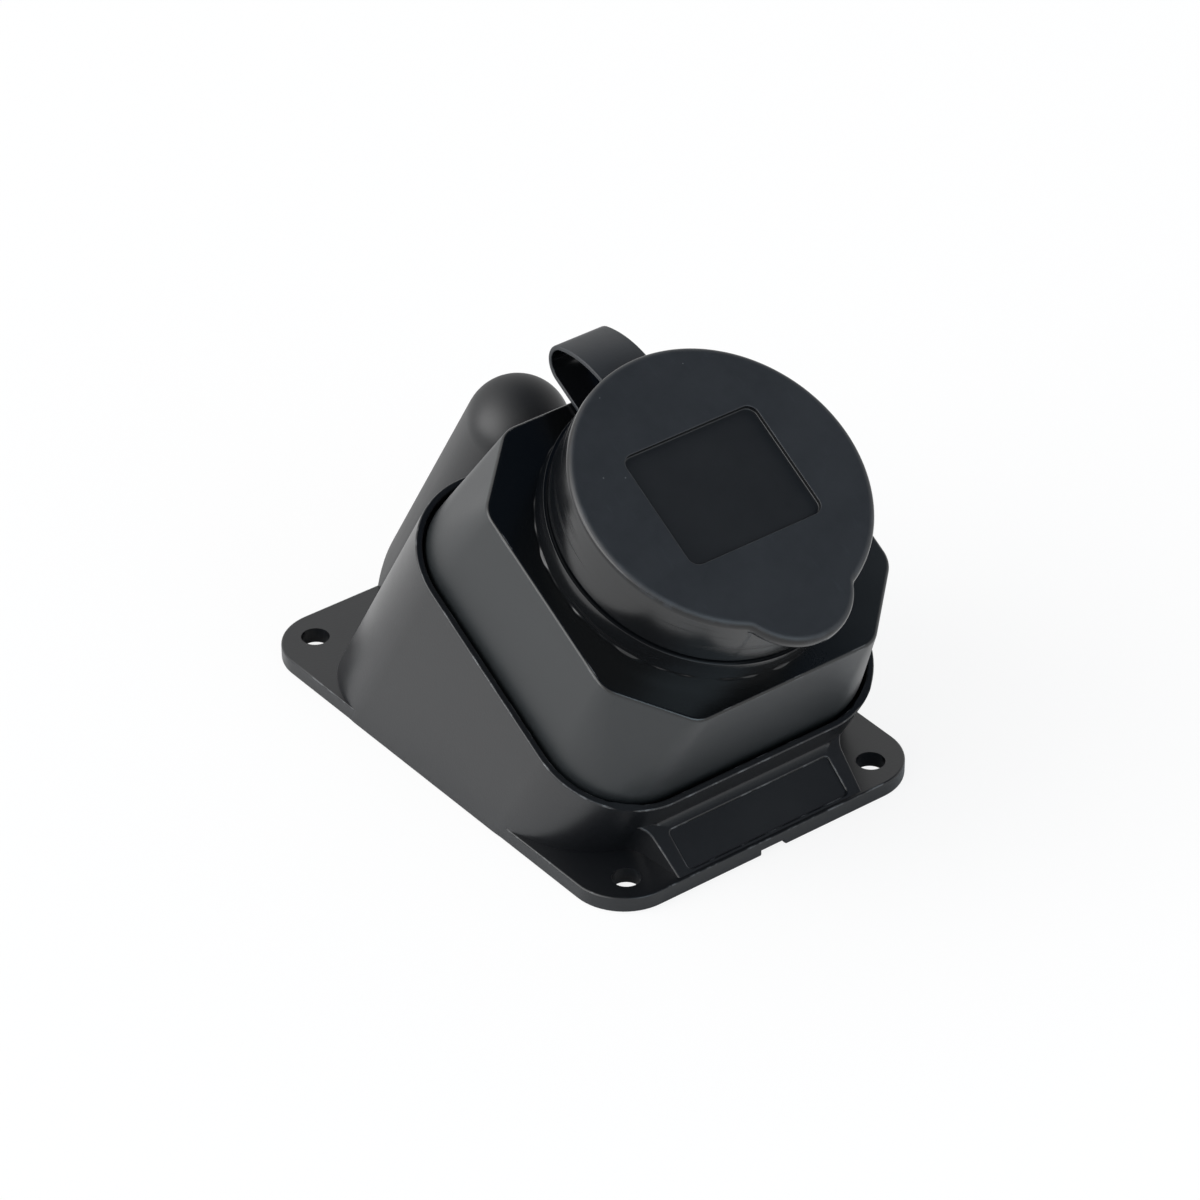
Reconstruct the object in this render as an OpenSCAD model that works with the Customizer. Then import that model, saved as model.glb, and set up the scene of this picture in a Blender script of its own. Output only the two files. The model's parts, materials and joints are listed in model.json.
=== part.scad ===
// Angled wall socket: a tilted two-pole socket with side earth clips, a strapped
// rubber lid and a screw-on housing. The origin is the centre of the back face, on
// the wall, +Z points out of the wall and +Y points up the wall, away from the face.

/* [Socket shell] */
// Width of the octagonal face across its flats
shell_w = 62.2; // [58:0.2:68]
// Length of the octagonal face, from its front to its back
shell_l = 61.4; // [58:0.2:68]
// Leg of the chamfer at each corner of the face
shell_chamfer = 12.2; // [9:0.1:14]
// How far each side of the shell leans out from the face to the housing's rim
shell_flare = 1.6; // [1:0.1:2.2]
// Corner radius of the shell where it enters the housing
shell_corner_r = 14.5; // [11:0.5:16]
// Height of the face above the housing's rim
shell_rise = 23.1; // [20:0.1:26]
// Depth of the shell below the housing's rim
shell_sink = 5; // [4:0.5:7]
// Wall of the shell
shell_wall = 2.4; // [2:0.1:3]
// Thickness of the face
face_t = 3; // [2.4:0.1:3.4]

/* [Plug recess] */
// Diameter of the recess that takes the plug
recess_d = 39; // [37:0.25:41]
// Depth of the recess below the collar's edge
recess_depth = 17.5; // [16.5:0.25:18.5]
// Wall of the round collar
collar_wall = 4; // [3.6:0.1:4.5]
// Height of the collar above the face
collar_h = 14; // [13:0.25:15]
// Depth of the collar below the face
collar_drop = 6; // [5.5:0.25:7]
// Width of the two guide ribs in the recess
rib_w = 5; // [4:0.25:6]
// Height of the guide ribs off the recess wall
rib_h = 1.8; // [1.2:0.1:2.2]
// Depth of the ribs' tops below the collar's edge
rib_drop = 3; // [2:0.25:5]
// How deep the ribs are rooted in the recess wall
rib_root = 1; // [0.5:0.1:1.5]

/* [Lid] */
// Gap between the lid's skirt and the collar
lid_clearance = 1.1; // [1:0.05:1.5]
// Wall of the lid's skirt
lid_wall = 2.4; // [2:0.1:3]
// Thickness of the lid's top and tab
lid_top_t = 2.2; // [1.8:0.1:2.8]
// Space between the collar's edge and the lid's top
lid_headroom = 1; // [0.6:0.1:1.6]
// Height of the ring that holds the strap on the collar
ring_h = 5; // [4.5:0.1:5.5]
// How far the ring stands out past the lid's skirt
ring_step = 0.55; // [0.3:0.05:1]
// Parting gap between the ring and the lid's skirt
lid_gap = 0.3; // [0.2:0.05:0.5]
// Radius of the pull tab
tab_r = 12; // [10:0.25:14]
// How far the tab reaches past the lid's edge
tab_reach = 4.5; // [3:0.25:6]
// Radius of the hollow curves beside the tab
tab_flare_r = 2; // [1:0.25:4]
// Width of the bare panel sunk into the lid's top
panel_w = 28; // [20:0.5:32]
// Length of that panel, from the tab to the strap
panel_l = 22.5; // [16:0.5:26]
// Depth of that panel
panel_depth = 0.7; // [0.4:0.1:1]
// Corner radius of that panel
panel_r = 2; // [1:0.25:3]

/* [Strap] */
// Width of the strap
strap_w = 10.5; // [8:0.5:12]
// Thickness of the strap
strap_t = 1.3; // [1:0.1:1.6]
// Outer radius of the strap's fold
strap_fold_r = 4; // [3.5:0.1:4.5]
// Distance of the fold's centre behind the face
strap_overhang = 4.5; // [4:0.1:5]
// Gap between the strap and the face
strap_lift = 0.4; // [0.3:0.05:0.7]
// Outer radius of the strap's arched upper leg
strap_arch_r = 20; // [18:0.5:22]
// Angle at which the fold passes into that arch
strap_turn = 48; // [44:1:52]

/* [Housing] */
// Angle between the wall and the socket's face
tilt = 30; // [25:1:35]
// Height of the housing's rim above the wall, along the tilted axis
rim_h = 37.2; // [35:0.1:40]
// Gap round the shell at the rim
shell_gap = 0.9; // [0.5:0.1:1.2]
// Wall of the housing's mouth, above the ledge
mouth_wall = 1.3; // [1:0.1:1.8]
// Wall of the housing below the ledge
housing_wall = 2.3; // [2:0.1:3]
// Corner radius of the housing
tube_corner_r = 17.3; // [15:0.1:20]
// How far the housing sits above the middle of the plate
tube_shift = 0.4; // [0:0.1:1]
// Thickness of the ledge that carries the shell
ledge_t = 3; // [2.5:0.1:3.5]
// Radius of the opening in the ledge
ledge_open_r = 26.5; // [25.5:0.25:27]
// Thickness of the gasket on the ledge
gasket_t = 1; // [0.6:0.1:1.5]

/* [Wall plate] */
// Thickness of the plate
plate_t = 3; // [2.5:0.1:4]
// Corner radius of the plate
plate_corner_r = 10; // [7:0.5:12]
// How far the plate's long edges lie inside the housing's sides
plate_inset = 0.1; // [0.1:0.05:0.5]
// Length of the ears in front of and behind the housing
ear_l = 11.8; // [11:0.1:14]
// Diameter of the four wall screw holes
hole_d = 5.2; // [4:0.1:6]
// Distance of the holes from the plate's long edges
hole_inset_x = 7.75; // [7:0.25:10]
// Distance of the holes from the plate's ends
hole_inset_y = 6.5; // [6:0.25:7.5]
// Width of the drain notch under the front edge
notch_w = 5.2; // [3:0.1:8]
// Height of the drain notch
notch_h = 1; // [0.6:0.1:1.5]

/* [Front slope] */
// Thickness of the slope at its foot
slope_foot = 2.4; // [2:0.1:3]
// Angle of the slope against the wall
slope_angle = 39; // [34:1:42]
// Width of the slope where it leaves the housing
slope_w = 41.6; // [38:0.2:44]
// Width of the slope at the plate's front edge
slope_front_w = 39.2; // [36:0.2:42]
// Radius of the hollow curves between the slope and the housing
slope_flare_r = 4; // [3:0.25:5]
// How deep those curves cut into the housing's corners, so that they end in an edge
slope_bite = 0.1; // [0.05:0.05:0.3]
// Width of the bare field sunk into the slope
field_w = 35; // [24:0.5:38]
// Length of that field down the slope
field_l = 7.4; // [5:0.1:8.5]
// Depth of that field
field_depth = 0.4; // [0.2:0.1:0.6]
// Distance of that field from the plate's front edge
field_margin = 1.6; // [1.2:0.1:2]
// Corner radius of that field
field_r = 0.8; // [0.4:0.1:1.5]

/* [Cable hump] */
// Radius of the domed hump
hump_r = 9.4; // [9.4:0.1:11]
// Distance of the hump's axis behind the housing's mouth
hump_set = 7.2; // [6.5:0.1:8]
// Depth of the dome's centre below the rim
hump_drop = 3; // [2:0.1:7]
// Wall of the hump
hump_wall = 2.2; // [1.8:0.1:2.6]
// Width of the cable's way from the hump into the housing
hump_slot_w = 12; // [9:0.5:13]
// Diameter of the cable hole in the grommet
inlet_d = 7.6; // [6:0.1:8]
// Width of the notch that holds the grommet
grommet_d = 9.5; // [9.2:0.1:9.7]
// Height of the cable hole above the wall
inlet_h = 6.8; // [6.5:0.1:7]
// Width and thickness of the grommet's lips
grommet_lip = 0.6; // [0.4:0.1:0.7]

/* [Contacts] */
// Distance between the two pin holes
pin_pitch = 19; // [18:0.25:20]
// Diameter of the pin holes
pin_hole_d = 5.4; // [5:0.1:5.8]
// Outer diameter of the contact sleeves
sleeve_d = 7; // [6.5:0.1:7.5]
// Inner diameter of the contact sleeves
sleeve_bore_d = 4.9; // [4.6:0.1:5]
// Length of the contact sleeves
sleeve_l = 12; // [10:0.5:13]
// Thickness of the contact and terminal metal
metal_t = 1.2; // [1:0.1:1.4]
// Width of the earth clips
clip_w = 7; // [6:0.25:8]
// Thickness of the earth clips
clip_t = 0.8; // [0.6:0.1:1]
// Height of the earth clips above the recess floor
clip_h = 12.5; // [11:0.25:13.5]
// Gap between the earth clips' feet and the recess wall
clip_gap = 0.4; // [0.3:0.05:0.6]
// How far the earth clips bow into the recess
clip_bow = 2; // [1.5:0.1:2.5]
// How far the earth clips' tips lean into the recess
clip_lean = 0.6; // [0.4:0.1:1]
// Height of that bow, as a share of the earth clips' height
clip_bow_at = 0.55; // [0.5:0.05:0.6]
// Height of the earth clips' straight feet, as a share of their height
clip_foot = 0.16; // [0.1:0.02:0.2]
// Distance of the terminal screws in front of the sleeves
terminal_reach = 4.3; // [3.5:0.1:4.5]
// Width of the terminal plates
terminal_size = 8; // [7:0.25:8.5]
// Space for a core between a terminal plate and its clamp
clamp_gap = 1; // [0.6:0.1:1.4]

/* [Contact carrier] */
// Width of the carrier's body across the pins
carrier_w = 34; // [32:0.5:36]
// Width of the carrier's body along the earth clips
carrier_l = 24; // [22:0.5:26]
// Thickness of the carrier's flange
flange_t = 3; // [2.5:0.1:3.5]
// Depth of the carrier's body behind the flange
carrier_depth = 13; // [13:0.5:15]
// Thickness of the carrier's rear cover
cover_t = 2; // [1.6:0.1:2.5]
// Corner radius of the carrier's body and cover
carrier_corner_r = 3; // [2:0.25:4]

/* [Fasteners] */
// Shank diameter of the shell screws
shell_screw_d = 2.9; // [2.5:0.1:3.2]
// Length of the shell screws under the head
shell_screw_l = 14; // [12:0.5:18]
// Distance of the shell screws from the shell's sides
post_inset = 10; // [9.5:0.25:10.5]
// Wall of the posts that take the shell screws
post_wall = 2.5; // [2:0.1:2.8]
// Shank diameter of the carrier screws
carrier_screw_d = 2.2; // [2:0.1:2.4]
// Length of the carrier screws under the head
carrier_screw_l = 7.5; // [6.5:0.25:8]
// Angle of the carrier screws round the recess
carrier_screw_angle = 60; // [55:1:65]
// Shank diameter of the terminal screws
terminal_screw_d = 3.2; // [2.8:0.1:3.5]
// Length of the terminal screws under the head
terminal_screw_l = 8; // [7:0.5:9]
// Head diameter of all screws, as a share of the shank's
head_ratio = 1.9; // [1.7:0.05:2]
// Head height of all screws, as a share of the shank's diameter
head_h_ratio = 0.65; // [0.5:0.05:0.75]
// Width of the slots in the heads, as a share of the shank's diameter
slot_ratio = 0.28; // [0.2:0.02:0.36]
// Length of the slots, as a share of the head's radius
slot_l_ratio = 1.3; // [1.1:0.1:1.5]
// How far the screw holes run past the screws' tips
pilot_extra = 1; // [0.5:0.1:1.2]
// Play of parts that fit into one another
play = 0.15; // [0.1:0.05:0.25]

/* [Hidden] */
$fn = 96;
eps = 0.02;
far = 200;

// Colours
housing_black = "#1b1c1e";
shell_black = "#18191b";
rubber_black = "#202225";
gasket_grey = "#303234";
carrier_white = "#d9d6cc";
brass = "#b8963e";
steel = "#b9bcc0";

// The shell and the tube that takes it: half widths across (u) and along (v) the tilted face
shell_u = shell_w / 2;
shell_v = shell_l / 2;
base_u = shell_u + shell_flare;
base_v = shell_v + shell_flare;
cavity_u = base_u + shell_gap;
cavity_v = base_v + shell_gap;
tube_u = cavity_u + mouth_wall;
tube_v = cavity_v + mouth_wall;
face_h = rim_h + shell_rise;
shell_bottom = -(shell_rise + shell_sink);
ledge_top = shell_bottom - gasket_t;
ledge_bottom = ledge_top - ledge_t;

// The wall plate, nearly flush with the tube's sides and as long as its foot and two ears
plate_w = 2 * (tube_u - plate_inset);
plate_d = 2 * (tube_v / cos(tilt) + ear_l);
axis_y = plate_t * tan(tilt) + tube_shift;
hole_x = plate_w / 2 - hole_inset_x;
hole_y = plate_d / 2 - hole_inset_y;

// The plug recess and its collar
recess_r = recess_d / 2;
collar_r = recess_r + collar_wall;
floor_h = collar_h - recess_depth;

// The lid closes over the collar
lid_inner_r = collar_r + lid_clearance;
lid_r = lid_inner_r + lid_wall;
lid_under = collar_h + lid_headroom;
lid_top = lid_under + lid_top_t;
ring_r = lid_r + ring_step;
tab_v = -(lid_r + tab_reach - tab_r);

// The strap's fold, in the plane across the hinge
fold_v = shell_v + strap_overhang;
fold_h = strap_lift + strap_fold_r;

// The hump stands behind the cavity, parallel to the tilted axis
hump_v = cavity_v + hump_set;
hump_top = rim_h - hump_drop;

// The contact carrier hangs under the collar, its cover and terminals behind it
flange_top = -collar_drop;
flange_bottom = flange_top - flange_t;
carrier_bottom = flange_bottom - carrier_depth;
cover_bottom = carrier_bottom - cover_t;
terminal_bottom = cover_bottom - metal_t;
clamp_top = terminal_bottom - clamp_gap;
clamp_bottom = clamp_top - metal_t;
sleeve_x = pin_pitch / 2;
sleeve_r = sleeve_d / 2;
sleeve_top = carrier_bottom + sleeve_l;
terminal_y = -(sleeve_r + terminal_reach);
clip_v = recess_r - clip_gap - clip_t;

// The places of the screws
post_r = shell_screw_d / 2 + post_wall;
post_at = shell_v - post_inset;
carrier_screw_at = recess_r + collar_wall / 2;

// Moves children to the tilted axis: z runs out along it from the wall
module on_axis() {
    translate([0, axis_y, 0]) rotate([tilt, 0, 0]) children();
}

// Moves children to the centre of the octagonal face
module on_face() {
    on_axis() translate([0, 0, face_h]) children();
}

module rounded_rect(w, d, r) {
    square([w - 2 * r, d], center = true);
    square([w, d - 2 * r], center = true);
    for (x = [-1, 1], y = [-1, 1]) translate([x * (w / 2 - r), y * (d / 2 - r)]) circle(r);
}

module octagon(u, v, chamfer) {
    polygon([
        [u, chamfer - v], [u, v - chamfer], [u - chamfer, v], [chamfer - u, v],
        [-u, v - chamfer], [-u, chamfer - v], [chamfer - u, -v], [u - chamfer, -v],
    ]);
}

// Extrudes a (v, h) outline across the hinge direction
module across(w) {
    rotate([90, 0, 90]) translate([0, 0, -w / 2]) linear_extrude(w) children();
}

module four_corners(x, y) {
    for (i = [-1, 1], j = [-1, 1]) translate([i * x, j * y, 0]) children();
}

module slab(z0, z1) {
    translate([0, 0, z0]) linear_extrude(z1 - z0) children();
}

// Keeps only what stands off the wall, inside the plate's ends
module above_wall() {
    intersection() {
        children();
        translate([-far / 2, -plate_d / 2, 0]) cube([far, plate_d, far]);
    }
}

// The tilted tube's section, shrunk by an inset
module tube_section(inset) {
    rounded_rect(2 * (tube_u - inset), 2 * (tube_v - inset), tube_corner_r - inset);
}

module tube_outside() {
    on_axis() slab(-far / 2, rim_h) tube_section(0);
}

// The space in the tube: a wide mouth above the ledge and a narrower shaft below it
module tube_inside() {
    on_axis() {
        slab(-far / 2, far / 2) tube_section(housing_wall);
        slab(face_h + ledge_top, far / 2) tube_section(mouth_wall);
    }
}

// A domed column parallel to the tube, standing behind it
module hump_column(r) {
    on_axis() translate([0, hump_v, 0]) {
        slab(-far / 2, hump_top) circle(r);
        translate([0, 0, hump_top]) sphere(r);
    }
}

// The space in the hump, behind the tube's back wall and the end wall
module hump_inside() {
    intersection() {
        hump_column(hump_r - hump_wall);
        on_axis() translate([-far / 2, tube_v, -far / 2]) cube(far);
        translate([-far / 2, -far, -far / 2]) cube([far, far + plate_d / 2 - hump_wall, far]);
    }
}

// The slope's outline along the tilted axis, with a hollow curve at each side
module slope_outline() {
    corner_u = tube_u - tube_corner_r;
    corner_v = tube_corner_r - tube_v;
    flare_u = slope_w / 2 + slope_flare_r;
    flare_d = tube_corner_r + slope_flare_r - slope_bite;
    flare_v = corner_v - sqrt(flare_d ^ 2 - (flare_u - corner_u) ^ 2);
    foot_v = -plate_d / 2;
    polygon([
        [slope_w / 2, corner_v], [-slope_w / 2, corner_v], [-slope_w / 2, flare_v],
        [-slope_front_w / 2, foot_v], [slope_front_w / 2, foot_v], [slope_w / 2, flare_v],
    ]);
    for (i = [-1, 1]) difference() {
        polygon([[i * corner_u, corner_v], [i * corner_u, flare_v], [i * flare_u, flare_v]]);
        translate([i * flare_u, flare_v]) circle(slope_flare_r);
    }
}

// The slope that runs from the rim's front down to the plate's front edge
module front_slope() {
    buried_y = 2 * housing_wall - tube_v / cos(tilt);
    rise = (plate_d / 2 + buried_y) * tan(slope_angle);
    intersection() {
        across(2 * tube_u) polygon([
            [-plate_d / 2, 0],
            [-plate_d / 2, slope_foot],
            [buried_y, slope_foot + rise],
            [buried_y, 0],
        ]);
        on_axis() slab(-far / 2, rim_h) slope_outline();
    }
}

// The bare field sunk into the slope
module slope_field() {
    translate([0, -plate_d / 2, slope_foot]) rotate([slope_angle, 0, 0])
        translate([0, field_margin + field_l / 2, -field_depth])
            linear_extrude(far) rounded_rect(field_w, field_l, field_r);
}

// The ledge round the tube's inside, with a round opening and the screws' holes
module ledge() {
    on_face() difference() {
        slab(ledge_bottom, ledge_top) tube_section(mouth_wall / 2);
        slab(ledge_bottom - 1, ledge_top + 1) circle(ledge_open_r);
        four_corners(post_at, post_at)
            slab(ledge_bottom - 1, ledge_top + 1) circle(shell_screw_d / 2 + play);
    }
}

// The notch for the grommet, open towards the wall
module grommet_notch(r, l) {
    translate([0, plate_d / 2 - hump_wall / 2, inlet_h]) rotate([90, 0, 0])
        linear_extrude(l, center = true) {
            circle(r);
            translate([-r, -inlet_h - eps]) square([2 * r, inlet_h + eps]);
        }
}

module wall_housing() color(housing_black) {
    difference() {
        union() {
            slab(0, plate_t) rounded_rect(plate_w, plate_d, plate_corner_r);
            above_wall() tube_outside();
            above_wall() hump_column(hump_r);
            front_slope();
        }
        tube_inside();
        hump_inside();
        slope_field();
        on_face() slab(-far, ledge_bottom - 1) translate([0, tube_v - housing_wall / 2])
            square([hump_slot_w, 2 * housing_wall], center = true);
        grommet_notch(grommet_d / 2, 2 * hump_wall);
        four_corners(hole_x, hole_y) slab(-1, plate_t + 1) circle(hole_d / 2);
        translate([-notch_w / 2, -plate_d / 2 - 1, -1]) cube([notch_w, 1 + slope_foot, 1 + notch_h]);
    }
    ledge();
}

// The shell's form, shrunk by an inset: octagonal at the face, a rounded square at the rim
module shell_form(inset, bottom) {
    hull() {
        slab(-inset - eps, -inset)
            octagon(shell_u - inset, shell_v - inset, shell_chamfer - inset * (2 - sqrt(2)));
        slab(bottom, -shell_rise)
            rounded_rect(2 * (base_u - inset), 2 * (base_v - inset), shell_corner_r - inset, $fn = 64);
    }
}

module socket_shell() color(shell_black) on_face() {
    difference() {
        union() {
            difference() {
                shell_form(0, shell_bottom);
                intersection() {
                    shell_form(shell_wall, shell_bottom - 1);
                    slab(-far, -face_t) square(far, center = true);
                }
            }
            four_corners(post_at, post_at) slab(shell_bottom, -face_t / 2) circle(post_r);
            slab(-collar_drop, collar_h) circle(collar_r);
        }
        slab(-far, far) circle(recess_r);
        four_corners(post_at, post_at)
            slab(shell_bottom - 1, ledge_bottom + shell_screw_l + pilot_extra)
                circle(shell_screw_d / 2 + play / 3);
        for (a = [0, 180]) rotate(carrier_screw_angle + a) translate([carrier_screw_at, 0])
            slab(-collar_drop - 1, flange_bottom + carrier_screw_l + pilot_extra)
                circle(carrier_screw_d / 2 + play / 3);
    }
    for (i = [-1, 1]) translate([i * (recess_r + (rib_root - rib_h) / 2), 0])
        slab(floor_h + play, collar_h - rib_drop) square([rib_h + rib_root, rib_w], center = true);
}

module shell_gasket() color(gasket_grey) on_face() {
    difference() {
        slab(ledge_top, shell_bottom) rounded_rect(2 * base_u, 2 * base_v, shell_corner_r);
        slab(ledge_top - 1, shell_bottom + 1) circle(ledge_open_r);
        four_corners(post_at, post_at)
            slab(ledge_top - 1, shell_bottom + 1) circle(shell_screw_d / 2 + play);
    }
}

// A pan-head screw: the head lies under z = 0, the shank stands on it
module screw(d, l) {
    head_r = head_ratio * d / 2;
    head_h = head_h_ratio * d;
    slot_w = slot_ratio * d;
    difference() {
        union() {
            cylinder(d = d, h = l);
            translate([0, 0, -head_h]) cylinder(r = head_r, h = head_h);
        }
        translate([0, 0, -head_h]) for (a = [0, 90]) rotate(a)
            cube([slot_l_ratio * head_r, slot_w, head_h], center = true);
    }
}

module shell_screws() color(steel) on_face() {
    four_corners(post_at, post_at) translate([0, 0, ledge_bottom])
        screw(shell_screw_d, shell_screw_l);
}

// The lid's outline with its pull tab and the hollow curves beside the tab
module lid_outline() {
    flare_d = lid_r + tab_flare_r;
    flare_v = ((tab_r + tab_flare_r) ^ 2 - flare_d ^ 2 - tab_v ^ 2) / (-2 * tab_v);
    flare_u = sqrt(flare_d ^ 2 - flare_v ^ 2);
    circle(lid_r);
    translate([0, tab_v]) circle(tab_r);
    difference() {
        polygon([[0, 0], [flare_u, flare_v], [0, tab_v], [-flare_u, flare_v]]);
        for (i = [-1, 1]) translate([i * flare_u, flare_v]) circle(tab_flare_r);
    }
}

module lid_cap() color(rubber_black) on_face() {
    difference() {
        union() {
            slab(lid_under, lid_top) lid_outline();
            slab(ring_h + lid_gap, lid_under) circle(lid_r);
        }
        slab(-far, lid_under) circle(lid_inner_r);
        slab(lid_top - panel_depth, far) rounded_rect(panel_w, panel_l, panel_r);
    }
}

// A curved band of outer radius r between two angles
module band(r, t, from, to) {
    difference() {
        circle(r);
        circle(r - t);
        rotate(to) translate([-far, 0]) square([2 * far, far]);
        rotate(from) translate([-far, -far]) square([2 * far, far]);
    }
}

// The strap's outline from the side: a lower leg, a round fold and an arched upper leg
module strap_outline() {
    translate([0, strap_lift]) square([fold_v, strap_t]);
    translate([fold_v, fold_h]) {
        band(strap_fold_r, strap_t, -90, strap_turn);
        rotate(strap_turn) translate([strap_fold_r - strap_arch_r, 0])
            band(strap_arch_r - eps, strap_t - 2 * eps, -1, 90 - strap_turn);
    }
}

module lid_strap() color(rubber_black) on_face() {
    difference() {
        across(strap_w) strap_outline();
        slab(-1, ring_h + lid_gap / 2) circle(ring_r + eps);
        slab(ring_h + lid_gap / 2, far) circle(lid_r + eps);
    }
}

module lid_ring() color(rubber_black) on_face() {
    difference() {
        slab(0, ring_h) circle(ring_r);
        slab(-1, far) circle(collar_r + play);
    }
}

// A rubber grommet with a lip on each side of the hump's end wall
module cable_grommet() color(gasket_grey) {
    lips = hump_wall + 2 * grommet_lip;
    intersection() {
        difference() {
            grommet_notch(grommet_d / 2 + grommet_lip, lips);
            difference() {
                grommet_notch(grommet_d, hump_wall);
                grommet_notch(grommet_d / 2 - play / 3, lips);
            }
            translate([0, plate_d / 2, inlet_h]) rotate([90, 0, 0])
                cylinder(d = inlet_d, h = far, center = true);
        }
        translate([-far / 2, 0, play]) cube(far);
    }
}

module contact_carrier() color(carrier_white) on_face() {
    difference() {
        union() {
            slab(flange_top, floor_h) circle(recess_r - play);
            slab(flange_bottom, flange_top) circle(collar_r);
            slab(carrier_bottom, flange_bottom) rounded_rect(carrier_w, carrier_l, carrier_corner_r);
        }
        for (i = [-1, 1]) {
            translate([i * sleeve_x, 0]) slab(-far, far) circle(pin_hole_d / 2);
            translate([i * sleeve_x, 0]) slab(-far, sleeve_top + play) circle(sleeve_r + play);
            translate([i * sleeve_x, terminal_y])
                slab(-far, clamp_bottom + terminal_screw_l + pilot_extra) circle(terminal_screw_d / 2 + play);
            translate([0, i * (clip_v + clip_t / 2)])
                slab(-far, far) square([clip_w + 4 * play, clip_t + 8 * play], center = true);
        }
        slab(-far, clamp_bottom + terminal_screw_l + pilot_extra) circle(terminal_screw_d / 2 + play);
        for (a = [0, 180]) rotate(carrier_screw_angle + a) translate([carrier_screw_at, 0])
            slab(-far, far) circle(carrier_screw_d / 2 + play);
    }
}

module carrier_cover() color(carrier_white) on_face() {
    difference() {
        slab(cover_bottom, carrier_bottom) rounded_rect(carrier_w, carrier_l, carrier_corner_r);
        for (i = [-1, 1]) {
            translate([i * sleeve_x, terminal_y]) slab(-far, far) circle(terminal_screw_d / 2 + play);
            translate([i * sleeve_x, -sleeve_r + metal_t / 2])
                slab(-far, far) square([sleeve_r + 2 * play, metal_t + 2 * play], center = true);
        }
        slab(-far, far) circle(terminal_screw_d / 2 + play);
    }
}

module carrier_screws() color(steel) on_face() {
    for (a = [0, 180]) rotate(carrier_screw_angle + a) translate([carrier_screw_at, 0, flange_bottom])
        screw(carrier_screw_d, carrier_screw_l);
}

// A brass sleeve with a tail that bends over the cover as the terminal plate
module pin_contact() color(brass) {
    slab(carrier_bottom, sleeve_top) difference() {
        circle(sleeve_r);
        circle(sleeve_bore_d / 2);
    }
    translate([0, -sleeve_r + metal_t / 2])
        slab(terminal_bottom, carrier_bottom + eps) square([sleeve_r, metal_t], center = true);
    difference() {
        slab(terminal_bottom, cover_bottom) translate([-terminal_size / 2, terminal_y - terminal_size / 2])
            square([terminal_size, -sleeve_r + metal_t - terminal_y + terminal_size / 2]);
        translate([0, terminal_y]) slab(-far, far) circle(terminal_screw_d / 2 + play / 3);
    }
}

module live_contact() on_face() translate([-sleeve_x, 0, 0]) pin_contact();

module neutral_contact() on_face() translate([sleeve_x, 0, 0]) pin_contact();

// One bent strip: a base behind the cover and a sprung clip at each side of the recess
module earth_clip_strip() color(brass) on_face() {
    tip = floor_h + clip_h;
    bend = floor_h + clip_bow_at * clip_h;
    foot = floor_h + clip_foot * clip_h;
    difference() {
        union() {
            slab(terminal_bottom, cover_bottom)
                square([terminal_size, 2 * (clip_v + clip_t)], center = true);
            for (m = [0, 1]) mirror([0, m, 0]) across(clip_w) polygon([
                [clip_v, terminal_bottom], [clip_v, foot],
                [clip_v - clip_bow, bend], [clip_v - clip_lean, tip],
                [clip_v - clip_lean + clip_t, tip], [clip_v - clip_bow + clip_t, bend],
                [clip_v + clip_t, foot], [clip_v + clip_t, terminal_bottom],
            ]);
        }
        slab(-far, 0) circle(terminal_screw_d / 2 + play / 3);
    }
}

module clamp_plate() color(steel) {
    difference() {
        slab(clamp_bottom, clamp_top) square(terminal_size - 4 * play, center = true);
        slab(-far, far) circle(terminal_screw_d / 2 + play);
    }
}

module live_clamp() on_face() translate([-sleeve_x, terminal_y, 0]) clamp_plate();

module neutral_clamp() on_face() translate([sleeve_x, terminal_y, 0]) clamp_plate();

module earth_clamp() on_face() clamp_plate();

module terminal_screw() color(steel) translate([0, 0, clamp_bottom])
    screw(terminal_screw_d, terminal_screw_l);

module live_terminal_screw() on_face() translate([-sleeve_x, terminal_y, 0]) terminal_screw();

module neutral_terminal_screw() on_face() translate([sleeve_x, terminal_y, 0]) terminal_screw();

module earth_terminal_screw() on_face() terminal_screw();

wall_housing();
socket_shell();
shell_gasket();
shell_screws();
lid_cap();
lid_strap();
lid_ring();
cable_grommet();
contact_carrier();
carrier_cover();
carrier_screws();
live_contact();
neutral_contact();
earth_clip_strip();
live_clamp();
neutral_clamp();
earth_clamp();
live_terminal_screw();
neutral_terminal_screw();
earth_terminal_screw();
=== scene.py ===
"""Angled wall socket: mouldings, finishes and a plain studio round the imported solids."""
import json
import math

import bmesh
import bpy
from mathutils import Matrix, Vector
from mathutils.bvhtree import BVHTree


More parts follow.
